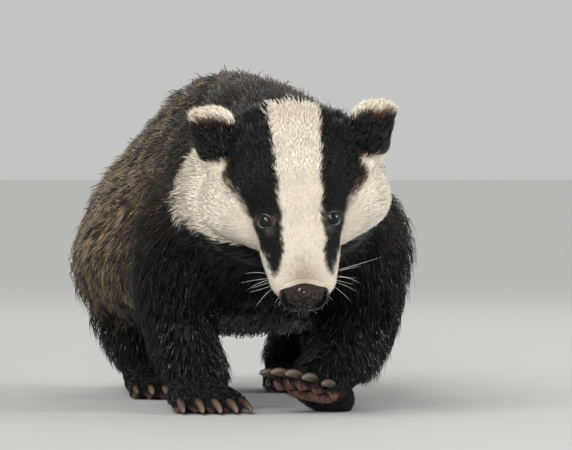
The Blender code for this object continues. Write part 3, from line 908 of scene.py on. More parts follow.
@dataclass(frozen=True)
class Markings:
    """Where the coat is white, black, grizzled, rusty or bare, for the skin and the tufts alike."""

    head: HeadPlan
    body: BodyPlan
    eyes: "list[EyePlace]"

    # Head's own frame: distance behind the eyes, then the edges there
    STRIPE = (
        (-60, -54, -48, -38, -10, 0, 25, 45, 62, 80, 95),
        (24, 18.5, 15.6, 14.9, 15.2, 15.4, 15.5, 17, 18.5, 17.5, 16),
    )
    BAND_FOOT = (
        (-50, -35, -18, -8, 0, 8, 14, 25, 45, 62, 80, 95, 110),
        (-13, -12, -13.5, -11, -8.5, -5.5, -2.5, 2.5, 9, 14, 15, 8, -4),
    )
    CHEEK_FOOT = ((-45, -30, 14, 38, 60, 75, 110), (-41, -41, -42, -49, -52, -56, -60))
    CHEEK_SIDE = ((20, 45, 62, 85, 110), (10, 14, 24, 44, 60))
    # Maker's frame: distance along the body, then the height under which the coat is black
    BLACK_TOP = ((-200, -150, -100, -50, 0, 50, 110, 250, 330), (148, 142, 130, 112, 94, 82, 74, 74, 92))
    TAIL_SILVER = 0.96

    def read(self, points: Rows, normals: Rows, zones: Rows) -> dict[str, Rows]:
        """The marks at some points.

        Args:
            points: One point in each row, in metres.
            normals: The surface's normals there.
            zones: Each point's share of each Zone, one column for each.

        Returns:
            Arrays of numbers from 0 to 1 for white, black, cream, rust, silver, pad and bare.
        """
        made = in_frame_of(points, maker_place())
        head = in_frame_of(points, self.head.matrix())
        x, y, z = head.T
        ragged = 1.3 * ripple(made, 9, 1) + 0.9 * ripple(made, 3.2, 2)
        skull, ear, neck, _, tail, leg = zones.T
        on_head = np.clip(skull + ear, 0, 1)
        on_ear = ramp(0.3, 0.7, ear)
        ear_white, ear_rust = self._ears(points, ragged)
        white = self._white_of_head(head, ragged) * (on_head + neck).clip(0, 1)
        pepper = ramp(0.55, 1.1, ripple(made, 2.2, 9)) * bell(y, -49, 9) * bell(x, 0, 7)
        pepper = np.maximum(pepper, 0.55 * ramp(1.25, 1.7, ripple(made, 2.6, 10)))
        black = self._black_below(made, ragged)
        black = np.maximum(black, ramp(112, 98, y + 3 * ragged) * ramp(0.2, 0.6, on_head + neck * 0.6))
        black = np.maximum(black, leg * ramp(112, 88, made[:, 2] - 3 * ragged))
        seam = bell(z, np.interp(y, *self.BAND_FOOT), 1.5) * ramp(-25, 5, y) * ramp(80, 64, y)
        above_nose = bell(y, -60, 8) * bell(x, 0, 12)
        rust = (0.42 * seam * (1 - on_ear) + 0.60 * above_nose) * on_head
        crown = ramp(40, 96, y) * 0.45 + 0.30 * ramp(-20, -44, z)
        bare, tear = self._round_the_eyes(points)
        return {
            "white": mixed(white, ear_white, on_ear) * (1 - 0.85 * pepper),
            "black": black * (1 - tail),
            "cream": np.clip(crown + 0.12 * ripple(made, 14, 5), 0, 1) * on_head,
            "rust": np.maximum(rust, 0.85 * ear_rust * ear),
            "silver": mixed(self._silver(made), self.TAIL_SILVER, tail),
            "pad": self._pads(points, normals),
            "tear": tear,
            "bare": bare,
        }

    def _white_of_head(self, head: Rows, ragged: Rows) -> Rows:
        """The stripe from crown to nose, the cheeks and the muzzle.

        Args:
            head: One point in each row, in the head's own frame.
            ragged: How far the edges wander, in millimetres.

        Returns:
            The share of white at each point.
        """
        x, y, z = head.T
        off_middle = np.abs(x - 1.8 * ramp(-60, -20, y))
        stripe = ramp(-0.9, 0.9, np.interp(y, *self.STRIPE) - off_middle + 0.6 * ragged)
        stripe *= ramp(97, 92, y + 2 * ragged) * ramp(-34, -28, z)
        under_band = ramp(-1.2, 1.2, np.interp(y, *self.BAND_FOOT) - z + ragged)
        over_throat = ramp(-1.5, 1.5, z - np.interp(y, *self.CHEEK_FOOT) + 1.5 * ragged)
        outside = ramp(-1.5, 1.5, np.abs(x) - np.interp(y, *self.CHEEK_SIDE) + ragged)
        cheek = under_band * over_throat * outside * ramp(97, 88, y + 3 * ragged)
        muzzle = ramp(-52.5, -56.5, y + ragged) * ramp(-43, -39, z)
        return np.maximum(np.maximum(stripe, cheek), muzzle)

    def _black_below(self, made: Rows, ragged: Rows) -> Rows:
        """The black of throat, chest and belly, up to a wandering line along the body."""
        height = np.interp(made[:, 1], *self.BLACK_TOP) + 7 * ripple(made, 40, 3) + 2 * ragged
        return ramp(9, -9, made[:, 2] - height)

    def _silver(self, made: Rows) -> Rows:
        """How pale the grizzled coat is: darkest on the neck and shoulders, palest on the flanks.

        Args:
            made: One point in each row, in the maker's frame.

        Returns:
            The share of silver at each point.
        """
        back = ramp(-130, 90, made[:, 1])
        # Paler low on the flanks and darker on top of the back: partly the coat's own tone, partly painted
        # shade on the back
        low = ramp(250, 165, made[:, 2])
        patchy = 0.07 * ripple(made, 55, 6) + 0.08 * ripple(made, 17, 7)
        return np.clip(0.16 + 0.30 * back + 0.38 * back * low + patchy, 0, 1)

    def _ears(self, points: Rows, ragged: Rows) -> tuple[Rows, Rows]:
        """The white tip of each ear and the reddish-brown edge under it.

        Args:
            points: One point in each row, in metres.
            ragged: How far the edges wander, in millimetres.

        Returns:
            The share of white and the share of rust at each point.
        """
        white, rust = np.zeros((2, len(points)))
        for side in (-1, 1):
            local = in_frame_of(points, self.head.ear_matrix(side))
            x, _, z = local.T
            near = (np.abs(local) < 30).all(1)
            edge = 5.8 - 6.5 * np.clip(np.abs(x) / 16, 0, 1.2) ** 2
            white = np.maximum(white, near * ramp(-1.2, 1.2, z - edge + 0.8 * ragged))
            rust = np.maximum(rust, near * bell(z + ragged, 3.0, 2.4) * bell(side * x, 2, 6))
        return white, rust

    def _round_the_eyes(self, points: Rows) -> tuple[Rows, Rows]:
        """The dark bare lids, and the thinly haired brownish skin beside them.

        Args:
            points: One point in each row, in metres.

        Returns:
            The share of bare lid and of thin hair at each point.
        """
        bare, tear = np.zeros(len(points)), np.zeros(len(points))
        for eye in self.eyes:
            local = eye.local(points)
            toward, up, _ = local.T
            near = np.linalg.norm(local, axis=1) < 22
            bare = np.maximum(bare, ramp(1.34, 1.14, eye.ring(toward, up)) * near)
            under = bell(toward, 5.5, 4.2) * bell(up, -9.0, 3.0)
            inner = 0.55 * bell(toward, 8.2, 2.0) * bell(up, -1.0, 4.0)
            outer = 0.85 * bell(toward, -7.9, 1.5) * bell(up, 2.6, 3.4)
            tear = np.maximum(tear, np.maximum(np.maximum(under, inner), outer) * near)
        return bare, tear

    def _pads(self, points: Rows, normals: Rows) -> Rows:
        """The bare pads under the palms and toes.

        Args:
            points: One point in each row, in metres.
            normals: The surface's normals there.

        Returns:
            The share of pad at each point.
        """
        pad = np.zeros(len(points))
        for leg in self.body.legs.values():
            place = leg.paw.matrix()
            local = in_frame_of(points, place)
            down = -(normals @ np.array(place.to_3x3())[:, 2])
            for centre, radii in leg.paw.pads():
                far = np.linalg.norm((local - np.array(centre)) / np.array(radii), axis=1)
                pad = np.maximum(pad, ramp(1.30, 1.10, far) * ramp(0.0, 0.35, down))
        return pad


@dataclass(frozen=True)
class EyePlace:
    """One eyeball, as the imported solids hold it, and the frame of its lids."""

    side: int
    centre: Vector
    outward: Vector
    toward: Vector
    radius: float

    @staticmethod
    def find(side: int, head: HeadPlan) -> "EyePlace":
        """Reads the eyeball's place from the frame.

        Args:
            side: -1 for the animal's right eye and 1 for its left.
            head: Gives the direction in which the eye looks.

        Returns:
            The eyeball's place.
        """
        low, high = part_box("eye_left" if side > 0 else "eye_right")
        turn = head.matrix().to_3x3()
        outward = (turn @ Vector((side * 0.60, -0.57, 0.56))).normalized()
        nose = turn @ Vector((-side, 0, 0))
        toward = (nose - nose.dot(outward) * outward).normalized()
        return EyePlace(side, (low + high) / 2, outward, toward, (high.z - low.z) * 500)

    def up(self) -> Vector:
        """The direction from the middle of the eye to its upper lid."""
        up = self.outward.cross(self.toward)
        return up if up.z > 0 else -up

    @staticmethod
    def reach(turn: Rows) -> Rows:
        """Half width of the opening between the lids in a direction, with a low inner corner."""
        oval = 1 / np.hypot(np.cos(turn) / 5.7, np.sin(turn) / 4.9)
        return oval * (1 + 0.16 * bell(turn, -0.75, 0.5))

    def ring(self, toward: Rows, up: Rows) -> Rows:
        """How far out a place is as a share of the opening's edge."""
        return np.hypot(toward, up) / self.reach(np.arctan2(up, toward))

    def local(self, points: Rows) -> Rows:
        """Points in millimetres towards the nose, up and outward from the eyeball's centre."""
        axes = np.array([self.toward, self.up(), self.outward])
        return (points - np.array(self.centre)) @ axes.T * 1000


@dataclass
class SkinField:
    """What the coat reads at each vertex of the skin."""

    zones: Rows
    length: Rows
    width: Rows
    depth: Rows
    cover: Rows
    fine: Rows
    lie: Rows


@dataclass
class Skin:
    """The one skin of the whole animal, set in from the outline by the depth of the coat."""

    head: HeadPlan
    body: BodyPlan
    eyes: list[EyePlace]
    flesh: list[Object]
    grain: float = 1.6
    # How often each zone is smoothed, in the order of Zone
    smoothing: tuple[int, ...] = (10, 2, 28, 28, 20, 4)
    triangles: int = 88000
    # Where the skin is split finer, in millimetres
    mouth: Triple = (0, -54, -34)
    mouth_reach: float = 24
    eye_reaches: tuple[float, float] = (15, 11)
    # Height of the flat soles over the floor, in metres
    sole: float = 0.0002
    obj: Object | None = None

    def __post_init__(self) -> None:
        """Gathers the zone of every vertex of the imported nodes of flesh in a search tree."""
        self.markings = Markings(self.head, self.body, self.eyes)
        places, self.labels = [], []
        for node in self.flesh:
            places += [v.co.copy() for v in node.data.vertices]
            self.labels += [Zone.of_node(node.name).value] * len(node.data.vertices)
        self.tree = tree_of_points(places)

    def zones_at(self, points: Rows, edges: Rows, rounds: int = 8) -> Rows:
        """Each point's share of each zone, softened along the mesh's edges.

        Args:
            points: One point in each row, in metres.
            edges: The edges between the points.
            rounds: How often the shares are softened.

        Returns:
            A row for each point, with one column for each Zone.
        """
        shares = np.zeros((len(points), len(Zone)))
        labels = [self.labels[self.tree.find(p)[1]] for p in points]
        shares[np.arange(len(points)), labels] = 1
        return relaxed(shares, edges, rounds)

    def build(self, finish: Material) -> Object:
        """Makes the skin from its masses.

        Args:
            finish: The skin's material.

        Returns:
            The finished object, which stands for the nodes of flesh.
        """
        bm = bmesh.new()
        self._add_masses(bm)
        self.obj = mesh_object("skin", bm)
        apply_modifier(self.obj, "REMESH", mode="VOXEL", voxel_size=self.grain / 1000)
        carved(self.obj, self._ear_cutters())
        self._smooth_and_inset()
        self._thin()
        self._refine()
        self._sculpt()
        self._unwrap()
        dress(self.obj, finish)
        self._store_marks()
        return self.obj

    def _add_masses(self, bm: BMesh) -> None:
        """Adds every mass of the body: trunk, head, ears, legs and paws.

        Args:
            bm: The bmesh that gets the form.
        """
        maker, head = maker_place(), self.head.matrix()
        hull_chain(bm, list(self.head.spine), head)
        cranium, throat = self.head.spine[3]
        brow, jaw_root = self.head.spine[2]
        for side in (-1, 1):
            cheek, front = mirrored((self.head.cheek, self.head.cheek_front), side)
            for group in ((cheek, front, cranium), (cheek, throat, jaw_root), (front, brow, jaw_root)):
                hull(bm, group, head)
            self._add_ear(bm, side)
        back = []
        for centre, radii in (self.head.spine[4][0], throat):
            back.append((tuple(maker.inverted() @ head @ metres(centre) * 1000), radii))
        torso = self.body.torso()
        neck = [(ball,) for ball in self.body.neck]
        hull_chain(bm, [tuple(back), *neck, torso[0]], maker)
        hull_chain(bm, torso, maker)
        hull_chain(bm, [(ball,) for ball in self.body.tail], maker)
        for leg in self.body.legs.values():
            hull_chain(bm, [(ball,) for ball in leg.chain], maker)
            for group in leg.paw.masses():
                hull(bm, group, leg.paw.matrix())

    def _add_ear(self, bm: BMesh, side: int) -> None:
        """Adds one ear and the flesh that carries it on the skull.

        Args:
            bm: The bmesh that gets the form.
            side: -1 for the animal's right and 1 for its left.
        """
        place = self.head.ear_matrix(side)
        hull(bm, self.head.ear_masses, place)
        (x, y, z), radii = self.head.ear_bed
        bed = place.inverted() @ self.head.matrix() @ metres((side * x, y, z)) * 1000
        hull(bm, (self.head.ear_foot, (tuple(bed), radii)), place)

    def _ear_cutters(self) -> list[Object]:
        """The hollows of the ears as closed objects.

        Returns:
            A cutter for each ear.
        """
        cutters = []
        for side in (-1, 1):
            bm = bmesh.new()
            hull(bm, self.head.ear_cup, self.head.ear_matrix(side))
            cutters.append(mesh_object(f"cup_{side}", bm))
        return cutters

    def _smooth_and_inset(self) -> None:
        """Smooths each zone as its solid is smoothed and sinks the surface by the coat's depth."""
        points, edges = vertices_of(self.obj), edges_of(self.obj)
        zones = self.zones_at(points, edges)
        rounds = zones @ np.array(self.smoothing)
        for turn in range(max(self.smoothing)):
            points = relaxed(points, edges, 1, np.clip(rounds - turn, 0, 1))
        set_vertices(self.obj, points)
        normals = normals_of(self.obj)
        fields = self.fields_at(points, normals, zones)
        depth = relaxed(fields.depth[:, None], edges, 12)
        points = points - normals * depth / 1000
        points[:, 2] = np.maximum(points[:, 2], self.sole)
        set_vertices(self.obj, relaxed(points, edges, 2))

    def _thin(self) -> None:
        """Thins the trunk, which lies under a long coat, and keeps head, ears and paws fine."""
        points, edges = vertices_of(self.obj), edges_of(self.obj)
        zones = self.zones_at(points, edges, 3)
        fine = zones[:, Zone.HEAD.value] + zones[:, Zone.EAR.value]
        low = zones[:, Zone.LEG.value] * ramp(0.045, 0.030, points[:, 2])
        group = self.obj.vertex_groups.new(name="coarse")
        share = np.clip(1 - fine - 0.6 * low, 0, 1)
        for index, weight in enumerate(share.tolist()):
            group.add((index,), weight, "REPLACE")
        triangles = sum(len(p.vertices) - 2 for p in self.obj.data.polygons)
        apply_modifier(
            self.obj, "DECIMATE", ratio=self.triangles / triangles, vertex_group="coarse",
            vertex_group_factor=1.0,
        )
        self.obj.vertex_groups.clear()

    def _refine(self) -> None:
        """Splits the faces round the mouth once and round the eyes twice, where it is sculpted."""
        mouth = (self.head.matrix() @ metres(self.mouth), self.mouth_reach)
        wide, close = ([(eye.centre, reach) for eye in self.eyes] for reach in self.eye_reaches)
        for places in ([*wide, mouth], close):
            bm = bmesh.new()
            bm.from_mesh(self.obj.data)
            near = [
                e for e in bm.edges
                if any((v.co - c).length < r / 1000 for v in e.verts for c, r in places)
            ]
            bmesh.ops.subdivide_edges(bm, edges=near, cuts=1, use_grid_fill=True)
            bmesh.ops.triangulate(bm, faces=bm.faces[:])
            bm.to_mesh(self.obj.data)
            bm.free()

    def _sculpt(self) -> None:
        """Forms the lids over the eyeballs and the closed mouth."""
        points, edges = vertices_of(self.obj), edges_of(self.obj)
        for eye in self.eyes:
            points = self._with_lids(points, eye)
        set_vertices(self.obj, points)
        points = self._with_mouth(points, normals_of(self.obj))
        head = in_frame_of(points, self.head.matrix())
        front = ramp(30, 0, head[:, 1]) * ramp(-75, -68, head[:, 1])
        set_vertices(self.obj, relaxed(points, edges, 1, 0.5 * front))

    def _with_lids(self, points: Rows, eye: EyePlace) -> Rows:
        """Lifts the skin to the eyeball's edge all round its opening and sinks it behind the ball.

        Args:
            points: The skin's vertices.
            eye: The eyeball and its lids.

        Returns:
            The moved vertices.
        """
        toward, up, out = eye.local(points).T
        turn = np.arctan2(up, toward)
        ring = eye.ring(toward, up)
        near = (ring < 2.6) & (out > -11) & (out < 15)
        rim = np.sqrt(np.maximum(eye.radius**2 - eye.reach(turn) ** 2, 1.0))
        flat = np.minimum(np.hypot(toward, up), eye.radius * 0.98)
        ball = np.sqrt(eye.radius**2 - flat**2)
        crest = 0.25 + 0.95 * bell(ring, 1.20, 0.16)
        fold = -0.50 * bell(ring, 1.55, 0.12) * ramp(-0.1, 0.5, np.sin(turn))
        lid = mixed(rim + crest, out, ramp(1.28, 2.4, ring)) + fold
        wanted = mixed(ball - 1.4, lid, ramp(0.90, 1.02, ring))
        moved = np.where(near, wanted - out, 0.0)
        return points + moved[:, None] * np.array(eye.outward) / 1000

    def _with_mouth(self, points: Rows, normals: Rows) -> Rows:
        """Presses in the line of the closed mouth and swells the lips beside it.

        Args:
            points: The skin's vertices.
            normals: The surface's normals there.

        Returns:
            The moved vertices.
        """
        x, y, z = in_frame_of(points, self.head.matrix()).T
        line = -37.5 - 7 * np.clip(np.abs(x) / 34, 0, 1) ** 1.2
        offset = z - line
        groove = -1.7 * bell(offset, 0, 0.95)
        lips = 0.8 * bell(offset, 2.6, 1.5) + 0.7 * bell(offset, -2.5, 1.5)
        amount = (groove + lips) * ramp(12, -6, y) * (y < 14) * (np.abs(offset) < 8)
        return points + normals * amount[:, None] / 1000

    def _unwrap(self) -> None:
        """Unwraps the skin's own shape for the closing bake."""
        self.obj.data.uv_layers.new(name=BAKE_MAP)
        bpy.context.view_layer.objects.active = self.obj
        self.obj.select_set(True)
        bpy.ops.object.mode_set(mode="EDIT")
        bpy.ops.mesh.select_all(action="SELECT")
        bpy.ops.uv.smart_project(angle_limit=math.radians(66), island_margin=0.002)
        bpy.ops.object.mode_set(mode="OBJECT")
        self.obj.select_set(False)

    def fields_at(self, points: Rows, normals: Rows, zones: Rows) -> SkinField:
        """Length, width, depth, cover and lie of the coat at some points.

        Args:
            points: One point in each row, in metres.
            normals: The surface's normals there.
            zones: Each point's share of each zone.

        Returns:
            The coat's fields at each point.
        """
        made = in_frame_of(points, maker_place())
        head = in_frame_of(points, self.head.matrix())
        _, y, z = head.T
        back, cheek = ramp(-46, 70, y), ramp(6, 46, y) * ramp(6, -14, z)
        under = ramp(-30, -46, z) * ramp(-20, 20, y)
        nape = ramp(70, 110, y)
        belly = ramp(-0.45, -0.85, normals[:, 2])
        paw = ramp(46, 20, made[:, 2])
        face = ramp(26, 12, y) * ramp(0.5, 0.2, cheek + under)
        ruff = ramp(125, 90, y) * ramp(34, 14, z)
        chest = ramp(20, -60, made[:, 1])
        length = blended(
            zones,
            3.6 + 4.6 * back + 5.0 * cheek + 5 * under + 7 * nape,
            7.2 + 2.6 * self._outer_ear(points),
            mixed(29 + 9 * ramp(-180, -120, made[:, 1]), 19, ruff),
            mixed(50 + 10 * ramp(235, 150, made[:, 2]), 27 + 12 * chest, belly),
            56,
            mixed(22, 6.0, paw),
        )
        width = blended(
            zones,
            mixed(0.31 + 0.07 * cheek + 0.12 * nape, 0.25, face),
            0.34,
            0.66 - 0.20 * ruff,
            0.92 - 0.1 * belly,
            0.90,
            mixed(0.64, 0.38, paw),
        )
        depth = blended(
            zones,
            1.5 + 1.8 * back + 2.6 * cheek + 2 * under + 3 * nape,
            0.6,
            11 - 5 * ruff,
            mixed(11, 6 + 3 * chest, belly),
            8,
            mixed(5.0, 1.6, paw),
        )
        cover = blended(zones, 1.9 + 0.3 * cheek, 1.6, 2.6, 2.3, 2.8, 1.25 - 0.1 * paw)
        lie = self._lie(made, head, points, zones)
        lie -= (lie * normals).sum(1, keepdims=True) * normals
        fine = face * zones[:, Zone.HEAD.value]
        return SkinField(zones, length, width, depth, cover, fine, unit(lie))

    def _outer_ear(self, points: Rows) -> Rows:
        """1 at the outer upper edge of either ear, where the white hair is longest.

        Args:
            points: One point in each row, in metres.

        Returns:
            The share at each point.
        """
        share = np.zeros(len(points))
        for side in (-1, 1):
            local = in_frame_of(points, self.head.ear_matrix(side))
            near = np.linalg.norm(local, axis=1) < 45
            outer = ramp(0, 16, side * local[:, 0]) * ramp(-4, 6, local[:, 2])
            share = np.maximum(share, outer * near)
        return share

    def _lie(self, made: Rows, head: Rows, points: Rows, zones: Rows) -> Rows:
        """The direction in which the coat lies, before it is laid on the surface.

        Args:
            made: The points in the maker's frame.
            head: The points in the head's frame.
            points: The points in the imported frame.
            zones: Each point's share of each zone.

        Returns:
            A direction for each point.
        """
        one = np.ones(len(points))
        x, y, z = head.T
        cheek = ramp(0, 40, y) * ramp(14, -12, z)
        side = np.clip(x / 24, -1, 1)
        face = np.stack([side * (0.16 + 0.50 * cheek + 0.22 * ramp(50, 95, y)), one, -0.30 * cheek], 1)
        nose = head - np.array((0, -58, -20))
        near_nose = ramp(30, 12, np.linalg.norm(nose, axis=1))[:, None]
        face = turned(mixed(unit(face), unit(nose), near_nose), self.head.matrix())
        for eye in self.eyes:
            local = eye.local(points)
            radial = unit(local * np.array((1, 1, 0))) @ np.array([eye.toward, eye.up(), eye.outward])
            close = ramp(16, 8, np.linalg.norm(local, axis=1))[:, None]
            face = mixed(face, unit(face + 1.1 * radial), close)
        ears = np.zeros((len(points), 3))
        for ear_side in (-1, 1):
            place = self.head.ear_matrix(ear_side)
            local = in_frame_of(points, place)
            near = np.linalg.norm(local, axis=1) < 45
            fan = np.stack([local[:, 0] * 0.035 + 0.70 * ear_side, 0.05 * one, one], 1)
            ears = np.where(near[:, None], turned(unit(fan), place), ears)
        low = 1 - ramp(75, 200, made[:, 2])
        chest = ramp(-95, -150, made[:, 1]) * low
        body = np.stack([0.12 * np.sign(made[:, 0]) * low, one - 0.75 * chest, -0.12 - 0.75 * low], 1)
        past = ramp(425, 460, made[:, 1])[:, None]
        tail = mixed(np.stack([0 * one, one, -0.45 * one], 1), np.stack([0 * one, 0.6 * one, -one], 1), past)
        foot = ramp(42, 20, made[:, 2])[:, None]
        down = np.stack([0 * one, 0.30 * one, -one], 1)
        ahead = np.stack([0 * one, -one, -0.35 * one], 1)
        leg = mixed(down, ahead, foot)
        lies = np.stack([face, ears, unit(body), unit(body), unit(tail), unit(leg)])
        return (lies * zones.T[:, :, None]).sum(0)

    def _store_marks(self) -> None:
        """Writes the markings to the skin's vertices for its material."""
        points, normals = vertices_of(self.obj), normals_of(self.obj)
        zones = self.zones_at(points, edges_of(self.obj), 3)
        marks = self.markings.read(points, normals, zones)
        # The skin takes the colour near a hair's root, darker under white hair: partly the coat's own tone,
        # partly painted shade under the coat
        marks["along"] = np.full(len(points), 0.22)
        marks["chance"] = np.full(len(points), 0.4)
        for name, values in marks.items():
            store(self.obj, name, values)


def tree_of_points(places: "list[Vector] | Rows") -> KDTree:
    """A search tree over some points.

    Args:
        places: The points, whose numbers the tree gives back.

    Returns:
        The tree.
    """
    tree = KDTree(len(places))
    for index, place in enumerate(places):
        tree.insert(place, index)
    tree.balance()
    return tree


def rows_of(items: bpy_prop_collection, name: str, width: int, kind: type = np.float32) -> Rows:
    """A property of every item of a mesh, one item in each row.

    Args:
        items: The mesh's vertices, edges or corners.
        name: The property.
        width: How many numbers an item has.
        kind: The numbers' type.

    Returns:
        The rows.
    """
    found = np.empty(len(items) * width, kind)
    items.foreach_get(name, found)
    return found.reshape(-1, width)


def vertices_of(obj: Object) -> Rows:
    """The object's vertices, one in each row."""
    return rows_of(obj.data.vertices, "co", 3).astype(float)


def normals_of(obj: Object) -> Rows:
    """The normals of the object's vertices, one in each row."""
    return rows_of(obj.data.vertex_normals, "vector", 3).astype(float)


def set_vertices(obj: Object, points: Rows) -> None:
    """Moves the object's vertices."""
    obj.data.vertices.foreach_set("co", points.astype(np.float32).ravel())
    obj.data.update()


def edges_of(obj: Object) -> Rows:
    """The two vertices of each edge."""
    return rows_of(obj.data.edges, "vertices", 2, np.int32)


def relaxed(values: Rows, edges: Rows, rounds: int, weight: Rows | float = 1.0) -> Rows:
    """Draws each vertex's values halfway to its neighbours' mean, as often as asked.

    Args:
        values: One row of numbers for each vertex.
        edges: The vertices of each edge.
        rounds: How many times.
        weight: How much each vertex takes part, from 0 to 1.

    Returns:
        The new values.
    """
    first, second = edges.T
    both = np.concatenate([first, second])
    other = np.concatenate([second, first])
    counts = np.maximum(np.bincount(both, minlength=len(values)), 1)
    for _ in range(rounds):
        sums = [np.bincount(both, values[other, i], len(values)) for i in range(values.shape[1])]
        mean = np.stack(sums, 1) / counts[:, None]
        values = values + 0.5 * np.reshape(weight, (-1, 1)) * (mean - values)
    return values


def store(obj: Object, name: str, values: Rows) -> None:
    """Keeps a number for each vertex under a name that a material reads."""
    attribute = obj.data.attributes.new(name, "FLOAT", "POINT")
    attribute.data.foreach_set("value", values.astype(np.float32))


@dataclass
class Roots:
    """Where tufts grow: places on the skin and what the skin says there."""

    points: Rows
    normals: Rows
    uvs: Rows
    lie: Rows
    length: Rows
    width: Rows
    depth: Rows
    marks: dict[str, Rows]

    def __len__(self) -> int:
        """How many tufts there are."""
        return len(self.points)

    def take(self, which: Rows) -> "Roots":
        """Only the tufts that which names, in its order."""
        rows = (self.points, self.normals, self.uvs, self.lie, self.length, self.width, self.depth)
        return Roots(*(row[which] for row in rows), {name: mark[which] for name, mark in self.marks.items()})


